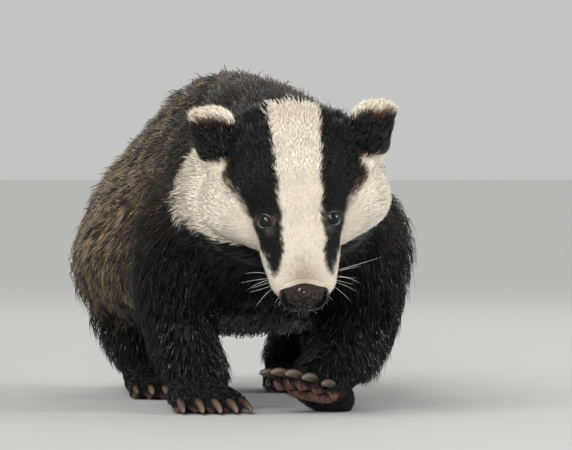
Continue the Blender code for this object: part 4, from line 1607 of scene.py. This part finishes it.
@dataclass
class Coat:
    """Grows the tufts of solid mesh over the skin."""

    skin: Skin
    finishes: dict[Zone, Material]
    sharpness: float = 0.55
    piece_triangles: int = 190000
    # The longest straight hair in millimetres: a longer one would leave the skin where that bends
    longest_short: float = 29.0
    # Heights over the floor in metres: of the lowest root and of the lowest hair
    lowest_root: float = 0.0006
    lowest_hair: float = 0.0004

    def __post_init__(self) -> None:
        """Reads the finished skin's triangles and fields."""
        obj, skin = self.skin.obj, self.skin
        self.points, self.normals = vertices_of(obj), normals_of(obj)
        self.corners = rows_of(obj.data.loops, "vertex_index", 1, np.int32).reshape(-1, 3)
        self.uvs = rows_of(obj.data.uv_layers[BAKE_MAP].data, "uv", 2).reshape(-1, 3, 2)
        zones = skin.zones_at(self.points, edges_of(obj), 6)
        self.fields = skin.fields_at(self.points, self.normals, zones)
        sides = self.points[self.corners]
        cross = np.cross(sides[:, 1] - sides[:, 0], sides[:, 2] - sides[:, 0])
        self.areas = np.linalg.norm(cross, axis=1) / 2 * 1e6
        self.tree = BVHTree.FromPolygons([Vector(p) for p in self.points], self.corners.tolist())

    def scatter(self, zone: Zone, seed: int, share: Rows | None = None) -> Roots:
        """Spreads roots evenly over a zone, as close as its cover asks.

        Args:
            zone: The part of the body.
            seed: Picks the places.
            share: How much of the cover is wanted at each vertex, all of it by default.

        Returns:
            The roots.
        """
        chance = np.random.default_rng(seed)
        fields = self.fields
        one_tuft = self._mean(fields.length) * self._mean(fields.width) * self.sharpness
        wanted = self.areas * self._mean(fields.cover) / one_tuft
        wanted *= self._mean(fields.zones[:, zone.value])
        if share is not None:
            wanted = wanted * self._mean(share)
        ladder = np.cumsum(wanted)
        count = int(ladder[-1])
        places = (np.arange(count) + chance.uniform(0, 1, count)) * ladder[-1] / count
        face = np.minimum(np.searchsorted(ladder, places), len(ladder) - 1)
        first, second = chance.uniform(0, 1, (2, count))
        flip = first + second > 1
        first, second = np.where(flip, 1 - first, first), np.where(flip, 1 - second, second)
        shares = np.stack([1 - first - second, first, second], 1)
        corners = self.corners[face]
        points, normals, lie, length, width, depth, zones = (
            np.einsum("ij,ij...->i...", shares, values[corners])
            for values in (
                self.points, self.normals, fields.lie, fields.length, fields.width, fields.depth,
                fields.zones,
            )
        )
        normals, lie = unit(normals), unit(lie)
        uvs = np.einsum("ij,ijk->ik", shares, self.uvs[face])
        jitter = points + chance.normal(0, 0.0007, points.shape)
        marks = self.skin.markings.read(jitter, normals, zones)
        roots = Roots(points, normals, uvs, lie, length, width, depth, marks)
        thin = np.maximum(np.maximum(marks["pad"] * 0.93, marks["bare"] * 0.95), marks["tear"] * 0.4)
        haired = chance.uniform(0, 1, count) > thin
        return roots.take(np.flatnonzero(haired & self._clear(points)))

    def _mean(self, values: Rows) -> Rows:
        """The mean over the corners of each triangle of the skin."""
        return values[self.corners].mean(1)

    def _clear(self, points: Rows) -> Rows:
        """False where a tuft would grow from under an eyeball or the nose.

        Args:
            points: One point in each row, in metres.

        Returns:
            A true or false value for each point.
        """
        clear = points[:, 2] > self.lowest_root
        for eye in self.skin.eyes:
            toward, up, _ = eye.local(points).T
            near = np.linalg.norm(points - np.array(eye.centre), axis=1) < 0.02
            clear &= ~(near & (eye.ring(toward, up) < 1.12))
        x, y, z = in_frame_of(points, self.skin.head.matrix()).T
        pad = np.hypot(x / 16.4, (z + 22) / 11.2) < 1
        return clear & ~(pad & (y < -50))

    def grow_face(self, seed: int) -> list[Object]:
        """The shortest hair, round the nose and eyes, as fine straight spikes.

        Args:
            seed: Picks the places and the hairs' differences.

        Returns:
            The pieces.
        """
        roots = self.scatter(Zone.HEAD, seed, self.fields.fine)
        chance = np.random.default_rng(seed + 100)
        count = len(roots)
        way = self._spread(roots, 0.20, chance)
        length = roots.length * chance.uniform(0.70, 1.25, count) / 1000
        rise = np.radians(chance.uniform(12, 24, count))
        rise *= np.where(chance.uniform(0, 1, count) < 0.04, 1.7, 1.0)
        tip = way * np.cos(rise)[:, None] + roots.normals * np.sin(rise)[:, None]
        path = np.stack([roots.points - roots.normals * 0.0003, roots.points + tip * length[:, None]], 1)
        path, _ = self._clumped(path, roots.points, chance, 8, 0.18)
        return self._pieces("face_coat", Zone.HEAD, roots, path, chance.uniform(0, 1, count), (1.0,))

    def grow_short(
        self, zone: Zone, seed: int, name: str, share: Rows | None = None
    ) -> list[Object]:
        """Short hair that rises from the skin and bends back along its lie.

        Args:
            zone: The part of the body.
            seed: Picks the places and the hairs' differences.
            name: The name of the pieces.
            share: How much of the cover is wanted at each vertex.

        Returns:
            The pieces.
        """
        chance = np.random.default_rng(seed + 100)
        roots = self.scatter(zone, seed, share)
        count = len(roots)
        sleek = 0.68 if zone is Zone.HEAD else 1.0
        way = self._spread(roots, 0.18 * sleek, chance)
        length = np.minimum(roots.length, self.longest_short) * chance.uniform(0.72, 1.22, count) / 1000
        stray = np.where(chance.uniform(0, 1, count) < 0.05 * sleek, 1.7, 1.0)
        flat = sleek * mixed(np.ones(count), np.full(count, 0.62), ramp(1.9, 1.2, roots.depth))
        rise = np.radians(chance.uniform(26, 38, count)) * np.sqrt(stray) * flat
        tip_rise = np.radians(chance.uniform(8, 19, count)) * stray * flat
        mid = way * np.cos(rise)[:, None] + roots.normals * np.sin(rise)[:, None]
        tip = way * np.cos(tip_rise)[:, None] + roots.normals * np.sin(tip_rise)[:, None]
        path = np.stack(
            [
                roots.points - roots.normals * 0.0003,
                roots.points + mid * 0.48 * length[:, None],
                roots.points + tip * length[:, None],
            ],
            1,
        )
        path, _ = self._clumped(path, roots.points, chance, 12, 0.30 * sleek)
        return self._pieces(name, zone, roots, path, chance.uniform(0, 1, count), (0.8, 1.0))

    @staticmethod
    def _spread(roots: Roots, amount: float, chance: np.random.Generator) -> Rows:
        """The lie of each tuft, turned a little to either side.

        Args:
            roots: The tufts' roots.
            amount: The usual turn, in radians.
            chance: Gives the random numbers.

        Returns:
            A direction for each tuft.
        """
        turn = chance.normal(0, amount, len(roots))[:, None]
        across = np.cross(roots.lie, roots.normals)
        return unit(roots.lie * np.cos(turn) + across * np.sin(turn))

    def grow_long(self, zone: Zone, seed: int, name: str) -> list[Object]:
        """Long guard hair that follows the body and rises to the coat's depth at its tip.

        Args:
            zone: The part of the body.
            seed: Picks the places and the hairs' differences.
            name: The piece's name.

        Returns:
            The pieces.
        """
        chance = np.random.default_rng(seed + 100)
        roots = self.scatter(zone, seed)
        count = len(roots)
        length = roots.length * chance.uniform(0.65, 1.2, count) / 1000
        reach = roots.depth * chance.uniform(0.45, 1.15, count) / 1000
        stray = chance.uniform(0, 1, count) < 0.05
        reach = np.where(stray, reach * 1.6, reach)
        turn = chance.normal(0, 0.15, count)
        steps = (0.0, 0.34, 0.68, 1.0)
        heights = (-0.03, 0.42, 0.76, 1.0)
        path = np.empty((count, len(steps), 3))
        foot, normal, lie = roots.points, roots.normals, roots.lie
        path[:, 0] = foot + normal * reach[:, None] * heights[0]
        for index in range(1, len(steps)):
            across = np.cross(lie, normal)
            way = unit(lie * np.cos(turn)[:, None] + across * np.sin(turn)[:, None])
            ahead = foot + way * (length * (steps[index] - steps[index - 1]))[:, None]
            foot, normal = self._nearest(ahead)
            lie = unit(lie - (lie * normal).sum(1, keepdims=True) * normal)
            path[:, index] = foot + normal * (reach * heights[index])[:, None]
        pull = 0.40 if zone is Zone.NECK else 0.62
        path, shared = self._clumped(path, roots.points, chance, 30, pull)
        own = 0.55 * chance.uniform(0, 1, count) + 0.45 * shared
        return self._pieces(name, zone, roots, path, own, (0.7, 1.0, 0.72))

    def _nearest(self, points: Rows) -> tuple[Rows, Rows]:
        """The skin's nearest point to each point, and its direction there."""
        found = [self.tree.find_nearest(p)[:2] for p in points]
        return np.array([f[0] for f in found]), np.array([f[1] for f in found])

    @staticmethod
    def _clumped(
        path: Rows, roots: Rows, chance: np.random.Generator, size: int, pull: float
    ) -> tuple[Rows, Rows]:
        """Draws the tips of neighbouring tufts together.

        Args:
            path: Each tuft's centre line.
            roots: Each tuft's root.
            chance: Picks the tufts that lead.
            size: How many tufts make a clump.
            pull: How far the tips are drawn to their leader's, as a share of the way.

        Returns:
            The drawn centre lines, and for each tuft a number that its clump shares.
        """
        leaders = np.sort(chance.choice(len(path), max(1, len(path) // size), replace=False))
        tree = tree_of_points(roots[leaders])
        mine = np.array([tree.find(p)[1] for p in roots])
        drawn = np.linspace(0, 1, path.shape[1]) ** 1.4
        strength = pull * chance.uniform(0.5, 1.3, len(path))[:, None] * drawn
        shared = chance.uniform(0, 1, len(leaders))[mine]
        return path + strength[:, :, None] * (path[leaders[mine]] - path), shared

    def _pieces(
        self, name: str, zone: Zone, roots: Roots, path: Rows, chance: Rows,
        widths: tuple[float, ...],
    ) -> list[Object]:
        """Joins tufts into pieces that each hold a stretch of the body, from front to back.

        Args:
            name: The piece's name.
            zone: The part of the body.
            roots: The tufts' roots.
            path: Each tuft's centre line.
            chance: A number for each tuft.
            widths: The width of each ring as a share of the tuft's own.

        Returns:
            The pieces.
        """
        path[..., 2] = np.maximum(path[..., 2], self.lowest_hair)
        per_tuft = 6 * (len(widths) - 1) + 4
        pieces = math.ceil(len(roots) * per_tuft / self.piece_triangles)
        order = np.argsort(roots.points[:, 1], kind="stable")
        made = []
        for number, which in enumerate(np.array_split(order, pieces), 1):
            title = f"{name}_{number}" if pieces > 1 else name
            part = roots.take(which)
            made.append(tuft_mesh(title, part, path[which], chance[which], widths))
            made[-1].data.materials.append(self.finishes[zone])
        return made


def tuft_mesh(
    name: str, roots: Roots, path: Rows, chance: Rows, widths: tuple[float, ...]
) -> Object:
    """Builds three-sided closed tufts along their paths, all in one mesh.

    Args:
        name: The piece's name.
        roots: The tufts' roots.
        path: For each tuft its centre line, from root to tip, in metres.
        chance: A number for each tuft that varies its colour.
        widths: The width of each ring as a share of the tuft's own, with the tip left out.

    Returns:
        The object, with its marks and its map for the closing bake.
    """
    count, rings = len(roots), len(widths)
    width = roots.width * (0.75 + 0.5 * chance) / 1000
    points = np.empty((count, rings * 3 + 1, 3))
    for ring, share in enumerate(widths):
        ahead = unit(path[:, ring + 1] - path[:, max(ring - 1, 0)])
        across = unit(np.cross(ahead, roots.normals))
        rise = np.cross(across, ahead)
        half = (width * share / 2)[:, None]
        points[:, ring * 3] = path[:, ring] - across * half
        points[:, ring * 3 + 1] = path[:, ring] + across * half
        points[:, ring * 3 + 2] = path[:, ring] + rise * half * 1.1
    points[:, -1] = path[:, -1]
    loops, starts, flat = tuft_faces(rings)
    per_tuft = rings * 3 + 1
    mesh = bpy.data.meshes.new(name)
    mesh.vertices.add(count * per_tuft)
    mesh.vertices.foreach_set("co", points.astype(np.float32).ravel())
    every = (np.arange(count)[:, None] * per_tuft + loops).ravel()
    mesh.loops.add(len(every))
    mesh.loops.foreach_set("vertex_index", every.astype(np.int32))
    begin = (np.arange(count)[:, None] * len(loops) + starts).ravel()
    mesh.polygons.add(len(begin))
    mesh.polygons.foreach_set("loop_start", begin.astype(np.int32))
    mesh.update(calc_edges=True)
    places = roots.uvs[:, None, :] + (flat - 0.5) * BAKE_PATCH
    layer = mesh.uv_layers.new(name=BAKE_MAP)
    layer.data.foreach_set("uv", places.astype(np.float32).ravel())
    made = bpy.data.objects.new(name, mesh)
    bpy.context.scene.collection.objects.link(made)
    mesh.shade_smooth()
    along = np.append(np.repeat(np.arange(rings) / rings, 3), 1.0)
    store(made, "along", np.tile(along, count))
    store(made, "chance", np.repeat(chance, per_tuft))
    for mark, values in roots.marks.items():
        if mark not in ("pad", "bare"):
            store(made, mark, np.repeat(values, per_tuft))
    return made


def tuft_faces(rings: int) -> tuple[Rows, Rows, Rows]:
    """Corners of one tuft's faces, where each face starts, and the corners' places on its patch.

    Args:
        rings: How many rings of three corners lie under the tip.

    Returns:
        The three arrays.
    """
    loops, starts, flat = [0, 1, 2], [0], [(0, 0), (0.3, 0), (0.15, 0.05)]
    for ring in range(rings):
        for side in range(3):
            near, far = ring * 3 + side, ring * 3 + (side + 1) % 3
            starts.append(len(loops))
            low, high = ring / rings, (ring + 1) / rings
            left, right = side / 3, (side + 1) / 3
            if ring < rings - 1:
                loops += [far, near, near + 3, far + 3]
                flat += [(right, low), (left, low), (left, high), (right, high)]
            else:
                loops += [far, near, rings * 3]
                flat += [(right, low), (left, low), (left + 1 / 6, high)]
    return np.array(loops), np.array(starts), np.array(flat)


@dataclass(frozen=True)
class Eyes:
    """The eyeballs with their corneas, and the moist rims of the lids."""

    places: list[EyePlace]
    rim_radius: float = 0.32
    rim_steps: int = 40
    rim_sides: int = 8
    # Where the rim is palest, as angles from the inner corner in radians
    pale_arcs: tuple[float, float] = (0.9, -2.2)

    def build(self, eye: Material, rim: Material) -> list[Object]:
        """Makes both eyeballs and both rims.

        Args:
            eye: The eyeballs' material.
            rim: The rims' material.

        Returns:
            The four pieces.
        """
        made = []
        for place in self.places:
            name = "left" if place.side > 0 else "right"
            made.append(self._ball(f"eyeball_{name}", place, eye))
            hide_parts(f"eye_{name}")
            made.append(self._rim(f"lid_rim_{name}", place, rim))
        return made

    def _ball(self, name: str, place: EyePlace, finish: Material) -> Object:
        """One eyeball, swelling a little where the cornea lies.

        Args:
            name: The piece's name.
            place: Where the eye is.
            finish: The material.

        Returns:
            The eyeball.
        """
        bm = bmesh.new()
        radius = place.radius / 1000
        bmesh.ops.create_uvsphere(bm, u_segments=48, v_segments=32, radius=radius)
        angles = []
        for vertex in bm.verts:
            angle = vertex.co.angle(Vector((0, 0, 1)))
            angles.append(angle / math.pi)
            swell = max(0.0, 1 - (angle / math.radians(48)) ** 2)
            vertex.co *= 1 + 0.05 * swell
        turn = place.outward.to_track_quat("Z", "Y").to_matrix().to_4x4()
        bmesh.ops.transform(bm, matrix=Matrix.Translation(place.centre) @ turn, verts=bm.verts[:])
        made = mesh_object(name, bm)
        dress(made, finish)
        store(made, "gaze", np.array(angles))
        return made

    def _rim(self, name: str, place: EyePlace, finish: Material) -> Object:
        """The wet edge of the lids, as a closed tube that rests on the eyeball.

        Args:
            name: The piece's name.
            place: Where the eye is.
            finish: The material.

        Returns:
            The rim.
        """
        turns = [2 * math.pi * step / self.rim_steps - math.pi for step in range(self.rim_steps)]
        path = []
        for turn in turns:
            reach = float(place.reach(np.array(turn)))
            out = math.sqrt(place.radius**2 - reach**2) + 0.20
            offset = place.toward * reach * math.cos(turn) + place.up() * reach * math.sin(turn)
            path.append(place.centre + (offset + place.outward * out) / 1000)
        bm = bmesh.new()
        loops = []
        for index, point in enumerate(path):
            along = (path[(index + 1) % len(path)] - path[index - 1]).normalized()
            side = (place.outward - place.outward.dot(along) * along).normalized()
            turn = Matrix((side, along.cross(side), along)).transposed().to_4x4()
            radius = self.rim_radius / 1000
            loop = bmesh.ops.create_circle(
                bm, segments=self.rim_sides, radius=radius, matrix=Matrix.Translation(point) @ turn
            )
            loops.append({edge for vertex in loop["verts"] for edge in vertex.link_edges})
        for index, loop in enumerate(loops):
            bmesh.ops.bridge_loops(bm, edges=list(loops[index - 1] | loop))
        bmesh.ops.recalc_face_normals(bm, faces=bm.faces[:])
        made = mesh_object(name, bm)
        dress(made, finish)
        toward, up, _ = place.local(vertices_of(made)).T
        turn = np.arctan2(up, toward)
        past = [np.angle(np.exp(1j * (turn - arc))) for arc in self.pale_arcs]
        store(made, "pale", sum(bell(angle, 0, 0.55) for angle in past))
        return made


@dataclass(frozen=True)
class Nose:
    """The leathery nose pad, in the head's own frame."""

    pad: Ball = ((0, -61.5, -20.5), (11.5, 9, 7.8))
    wing: Ball = ((11, -60, -24.4), (7.3, 8.5, 7.4))
    low_wing: Ball = ((8.5, -60, -30), (7.4, 7.6, 7.6))
    below: Ball = ((0, -58, -35), (8, 6.5, 6.5))
    nostril: Group = (
        ((15.8, -65.5, -18.5), (1.1, 3.6, 1.8)),
        ((14.6, -68, -24.5), (1.8, 4.6, 2.6)),
        ((10.6, -69.5, -29.5), (3.2, 4.8, 2.6)),
    )
    groove: Group = (((0, -72.5, -22), (0.6, 3, 2)), ((0, -68.5, -41), (0.7, 3, 3)))
    grain: float = 0.6

    def build(self, head: HeadPlan, finish: Material) -> Object:
        """Makes the pad with its comma-shaped nostrils and lip groove.

        Args:
            head: The head's plan.
            finish: The material.

        Returns:
            The piece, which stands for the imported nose.
        """
        place = head.matrix()
        bm = bmesh.new()
        wings = (*mirrored((self.wing,), -1), self.wing)
        low_wings = (*mirrored((self.low_wing,), -1), self.low_wing)
        hull(bm, (self.pad, *wings), place)
        hull(bm, (*wings, *low_wings, self.below), place)
        made = mesh_object("nose_pad", bm)
        apply_modifier(made, "REMESH", mode="VOXEL", voxel_size=self.grain / 1000)
        relax_object(made, 5)
        cutters = [self._cutter(self.groove, 1, place)]
        for side in (-1, 1):
            upper, middle, lower = self.nostril
            cutters += [self._cutter(part, side, place) for part in ((upper, middle), (middle, lower))]
        for cutter in cutters:
            carved(made, [cutter])
        apply_modifier(made, "REMESH", mode="VOXEL", voxel_size=self.grain / 1000)
        relax_object(made, 3)
        dress(made, finish)
        local = in_frame_of(vertices_of(made), place)
        upper = ramp(-26, -19, local[:, 2]) * ramp(17, 13, np.abs(local[:, 0])) * 0.40
        rim = ramp(15.8, 17.6, np.abs(local[:, 0])) * ramp(-35, -29, local[:, 2])
        store(made, "worn", np.clip(upper + rim, 0, 1))
        # The mask of painted shade inside the nostrils
        store(made, "hollow", self._painted_hollow_shade(local))
        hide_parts("nose")
        return made

    def _painted_hollow_shade(self, local: Rows) -> Rows:
        """Where the painted shade inside the nostrils lies: 1 inside them and 0 outside, for points of the
        head's own frame.

        Args:
            local: One point in each row, in the head's own frame.

        Returns:
            The share of painted shade at each point.
        """
        inside = np.zeros(len(local))
        folded = np.column_stack([np.abs(local[:, 0]), local[:, 1:]])
        for first, second in zip(self.nostril, self.nostril[1:]):
            for share in (0.0, 0.25, 0.5, 0.75, 1.0):
                centre, radii = (
                    np.array(a) * (1 - share) + np.array(b) * share for a, b in zip(first, second)
                )
                far = np.linalg.norm((folded - centre) / radii, axis=1)
                inside = np.maximum(inside, ramp(1.25, 0.95, far))
        return inside

    @staticmethod
    def _cutter(group: Group, side: int, place: Matrix) -> Object:
        """One hollow as a closed object, on either side of the middle.

        Args:
            group: The hollow's balls.
            side: 1 as they are, or -1 for the mirrored ones.
            place: Takes the head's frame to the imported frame.

        Returns:
            The closed object.
        """
        bm = bmesh.new()
        hull(bm, mirrored(group, side), place)
        bmesh.ops.recalc_face_normals(bm, faces=bm.faces[:])
        return mesh_object("hollow", bm)


def relax_object(obj: Object, rounds: int) -> None:
    """Smooths the whole object a little."""
    set_vertices(obj, relaxed(vertices_of(obj), edges_of(obj), rounds))


@dataclass(frozen=True)
class Claws:
    """Long curved claws in front and shorter ones behind."""

    rings: int = 9
    half_widths: tuple[float, float] = (2.7, 0.35)
    half_depths: tuple[float, float] = (3.4, 0.4)
    sides: int = 12

    def build(self, name: str, paw: PawPlan, finish: Material) -> Object:
        """Makes the five claws of one paw as one piece.

        Args:
            name: The leg's name.
            paw: Where the paw is and how long its claws are.
            finish: The horn.

        Returns:
            The piece, which stands for the paw's five packed claws.
        """
        bm = bmesh.new()
        place = paw.matrix()
        for toe in range(-2, 3):
            path, widths, depths = [], [], []
            root = Vector((*paw.toe_place(toe), 10))
            ahead = Vector((0.05 * toe, -1, 0)).normalized()
            for ring in range(self.rings):
                share = ring / (self.rings - 1)
                drop = (1 - math.cos(share)) * 0.62 * paw.claw
                point = root + ahead * math.sin(share) * paw.claw * 1.32 - Vector((0, 0, drop))
                path.append(place @ metres(tuple(point)))
                slim = math.sqrt(max(0.0, 1 - share**2.4))
                widths.append(self.half_widths[1] + (self.half_widths[0] - self.half_widths[1]) * slim)
                depths.append(self.half_depths[1] + (self.half_depths[0] - self.half_depths[1]) * slim)
            across = place.to_3x3() @ Vector((1, 0, 0))
            horn_of_rings(bm, path, widths, depths, across, self.sides)
        made = mesh_object(f"claws_{name}", bm)
        dress(made, finish)
        local = in_frame_of(vertices_of(made), place)
        start = -0.62 * paw.length + 4
        store(made, "along", np.clip((start - local[:, 1]) / (paw.claw * 1.1), 0, 1))
        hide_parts(*(f"claw_{name}_{number}" for number in range(1, 6)))
        return made


@dataclass
class Bristles:
    """Whiskers beside the muzzle and short bristles under the nose."""

    head: HeadPlan
    coat: Coat
    steps: int = 6
    seed: int = 41

    def __post_init__(self) -> None:
        """Starts without any hairs."""
        self.chance = np.random.default_rng(self.seed)
        self.lines: list[tuple[Vector, Vector, Vector, float, float]] = []

    def build(self, finish: Material) -> Object:
        """Makes all of them as one piece.

        Args:
            finish: The material.

        Returns:
            The piece.
        """
        uniform = self.chance.uniform
        for side in (-1, 1):
            for row in range(3):
                for column in range(2):
                    place = (side * 26, -49 + 8 * column, -20 - 5 * row)
                    way = (side, -0.25 + 0.45 * column, 0.10 - 0.28 * row)
                    length = uniform(10, 20) + 6 * column
                    self._add(place, way, length, 0.11, uniform(-0.1, 0.45))
            for column in range(10):
                place = (side * (1.5 + 2.1 * column), -60 + 1.0 * column, -40 + 0.6 * column)
                way = (side * 0.11 * column, -0.45, -1)
                self._add(place, way, uniform(4.5, 8.5), 0.12, 0.05)
        self._add((26, -40, -21), (1, 0.05, 0.30), 37, 0.14, -0.05)
        bm = bmesh.new()
        shades = []
        for root, way, droop, length, radius in self.lines:
            before = len(bm.verts)
            self._hair(bm, root, way, droop, length, radius)
            shade = uniform(0, 1)
            shades += [shade] * (len(bm.verts) - before)
        made = mesh_object("whiskers", bm)
        dress(made, finish)
        store(made, "chance", np.array(shades))
        tree = tree_of_points([line[0] for line in self.lines])
        away = np.array([tree.find(p)[2] for p in vertices_of(made)])
        store(made, "along", np.clip(away / 0.02, 0, 1))
        return made

    def _add(self, place: Triple, way: Triple, length: float, radius: float, droop: float) -> None:
        """Roots one hair at the skin's nearest point to a place in the head's own frame.

        Args:
            place: About where it roots, in the head's own frame.
            way: The direction in which it grows there.
            length: In millimetres.
            radius: At its root, in millimetres.
            droop: How far its tip sinks.
        """
        uniform = self.chance.uniform
        aim = self.head.matrix() @ metres(tuple(p + uniform(-0.8, 0.8) for p in place))
        root, normal, _, _ = self.coat.tree.find_nearest(aim)
        turn = self.head.matrix().to_3x3()
        ahead = (turn @ Vector(tuple(w + uniform(-0.12, 0.12) for w in way))).normalized()
        self.lines.append((root - normal * 0.0008, ahead, Vector((0, 0, -droop)), length, radius))

    def _hair(
        self, bm: BMesh, root: Vector, way: Vector, droop: Vector, length: float, radius: float
    ) -> None:
        """One tapered hair that droops towards its tip.

        Args:
            bm: The bmesh that gets the form.
            root: Where it roots, in metres.
            way: Its direction there.
            droop: How its tip is moved, as a share of its length.
            length: In millimetres.
            radius: At its root, in millimetres.
        """
        path, radii = [], []
        for step in range(self.steps):
            share = step / (self.steps - 1)
            path.append(root + (way * share + droop * share * share) * length / 1000)
            radii.append(radius * (1 - share) ** 0.7 + 0.02)
        across = way.cross(Vector((0.3, 0.2, 1))).normalized()
        horn_of_rings(bm, path, radii, radii, across, 4)


def direction(azimuth: float, height_angle: float) -> Vector:
    """The way out from the model at these angles, in degrees, from its front and the floor."""
    turn, lift = math.radians(azimuth), math.radians(height_angle)
    return Vector((math.sin(turn) * math.cos(lift), -math.cos(turn) * math.cos(lift), math.sin(lift)))


def hang(name: str, data: ID, place: Vector, aim: Vector) -> Object:
    """Puts a camera or a light in the scene and points it.

    Args:
        name: The object's name.
        data: The camera or light.
        place: Where it hangs, in metres.
        aim: The point that it faces, in metres.

    Returns:
        The object.
    """
    made = bpy.data.objects.new(name, data)
    bpy.context.scene.collection.objects.link(made)
    made.location = place
    made.rotation_mode = "QUATERNION"
    made.rotation_quaternion = (aim - place).to_track_quat("-Z", "Y")
    return made


@dataclass(frozen=True)
class PhotoCamera:
    """The photograph's camera: a long lens near the ground, a little to the animal's right."""

    azimuth: float = -8.0
    height_angle: float = 0.53
    distance: float = 4.2
    pixel: float = 0.73
    frame_width: int = 572
    eyes_right_of_middle: int = 13
    eyes_over_middle: int = 5
    sensor: float = 36.0

    def build(self, eyes: Vector) -> Object:
        """Sets up the camera.

        Args:
            eyes: The midpoint of the eyes, in metres.

        Returns:
            The camera object, which is the scene's own.
        """
        right = direction(self.azimuth + 90, 0)
        scale = self.pixel / 1000
        aim = eyes - right * self.eyes_right_of_middle * scale
        aim -= Vector((0, 0, self.eyes_over_middle * scale))
        data = bpy.data.cameras.new("photo_camera")
        data.sensor_width = self.sensor
        data.lens = self.sensor * self.distance / (self.frame_width * scale)
        data.clip_start, data.clip_end = 0.1, 400
        place = aim + direction(self.azimuth, self.height_angle) * self.distance
        bpy.context.scene.camera = hang("photo_camera", data, place, aim)
        return bpy.context.scene.camera


@dataclass(frozen=True)
class Softbox:
    """One soft studio light that points at the model."""

    name: str
    place: Triple
    size: float
    watts: float

    def build(self, aim: Vector) -> Object:
        """Hangs the light, whose place and size are in metres.

        Args:
            aim: The point that it faces.

        Returns:
            The light object.
        """
        data = bpy.data.lights.new(self.name, "AREA")
        data.shape = "DISK"
        data.size = self.size
        data.energy = self.watts
        return hang(self.name, data, Vector(self.place), aim)


@dataclass(frozen=True)
class Daylight:
    """Broad soft light from far away, which lights the floor evenly out to its edge."""

    azimuth: float = -32.0
    height_angle: float = 35.0
    strength: float = 2.45
    spread: float = 34.0

    def build(self) -> Object:
        """Hangs the light over the model.

        Returns:
            The light object.
        """
        data = bpy.data.lights.new("key_light", "SUN")
        data.energy = self.strength
        data.angle = math.radians(self.spread)
        return hang("key_light", data, Vector(), -direction(self.azimuth, self.height_angle))


@dataclass(frozen=True)
class Studio:
    """The pale floor, the soft lights and the sky of light round them, with lengths in metres."""

    floor_radius: float = 120.0
    aim: Triple = (0, -0.15, 0.12)
    sky_colour: tuple[float, ...] = (1.0, 0.99, 0.97, 1)
    sky_strength: float = 0.56
    lights: tuple[Softbox, ...] = (
        Softbox("front_light", (-0.7, -3.8, 0.7), 0.45, 58),
        Softbox("side_light", (2.6, -0.9, 1.2), 1.2, 40),
        Softbox("back_light", (1.0, 2.6, 2.2), 1.6, 16),
    )

    def build(self) -> None:
        """Makes the floor, the lights and the world."""
        bm = bmesh.new()
        bmesh.ops.create_circle(bm, cap_ends=True, segments=96, radius=self.floor_radius)
        floor = mesh_object("floor", bm)
        floor.data.materials.append(FloorFinish().material())
        Daylight().build()
        for light in self.lights:
            light.build(Vector(self.aim))
        world = bpy.data.worlds.new("studio")
        world.use_nodes = True
        sky = world.node_tree.nodes["Background"]
        sky.inputs["Color"].default_value = self.sky_colour
        sky.inputs["Strength"].default_value = self.sky_strength
        bpy.context.scene.world = world
        bpy.context.scene.view_settings.view_transform = "Standard"


def report(piece: Object) -> None:
    """Says how many triangles a piece has."""
    LOG.info("%s: %d triangles", piece.name, sum(len(p.vertices) - 2 for p in piece.data.polygons))


def settle(piece: Object) -> None:
    """Lets a finished piece ride on the model's one body.

    Args:
        piece: The piece.
    """
    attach(piece, "root")
    report(piece)


def main() -> None:
    """Builds the model in order, from its skin out to its whiskers, and then the studio."""
    logging.basicConfig(level=logging.INFO, format="%(name)s %(message)s")
    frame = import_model()
    head, body = HeadPlan(), BodyPlan()
    eyes = [EyePlace.find(side, head) for side in (-1, 1)]

    flesh = {name: node for name, node in frame["nodes"].items() if Zone.of_node(name) is not None}
    skin = Skin(head, body, eyes, list(flesh.values()))
    settle(skin.build(FurFinish("skin", skin=True).material()))
    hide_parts(*flesh)

    head_fur, body_fur, leg_fur = (FurFinish(f"{part}_fur").material() for part in ("head", "body", "leg"))
    finishes = {
        Zone.HEAD: head_fur, Zone.EAR: head_fur, Zone.NECK: body_fur, Zone.TORSO: body_fur,
        Zone.TAIL: body_fur, Zone.LEG: leg_fur,
    }
    coat = Coat(skin, finishes)
    head_pieces = coat.grow_face(11)
    head_pieces += coat.grow_short(Zone.HEAD, 1, "head_coat", 1 - coat.fields.fine)
    head_pieces += coat.grow_short(Zone.EAR, 2, "ear_coat")
    for piece in head_pieces:
        settle(piece)
    for zone in (Zone.NECK, Zone.TORSO, Zone.TAIL):
        for piece in coat.grow_long(zone, 3 + zone.value, f"{zone.name.lower()}_coat"):
            settle(piece)
    for piece in coat.grow_short(Zone.LEG, 9, "leg_coat"):
        settle(piece)

    for piece in Eyes(eyes).build(EyeFinish().material(), LidFinish().material()):
        settle(piece)
    settle(Nose().build(head, NoseFinish().material()))
    horn = HornFinish().material()
    for name, leg in body.legs.items():
        settle(Claws().build(name, leg.paw, horn))
    settle(Bristles(head, coat).build(BristleFinish().material()))

    Studio().build()
    PhotoCamera().build((eyes[0].centre + eyes[1].centre) / 2)


if __name__ == "__main__":
    main()
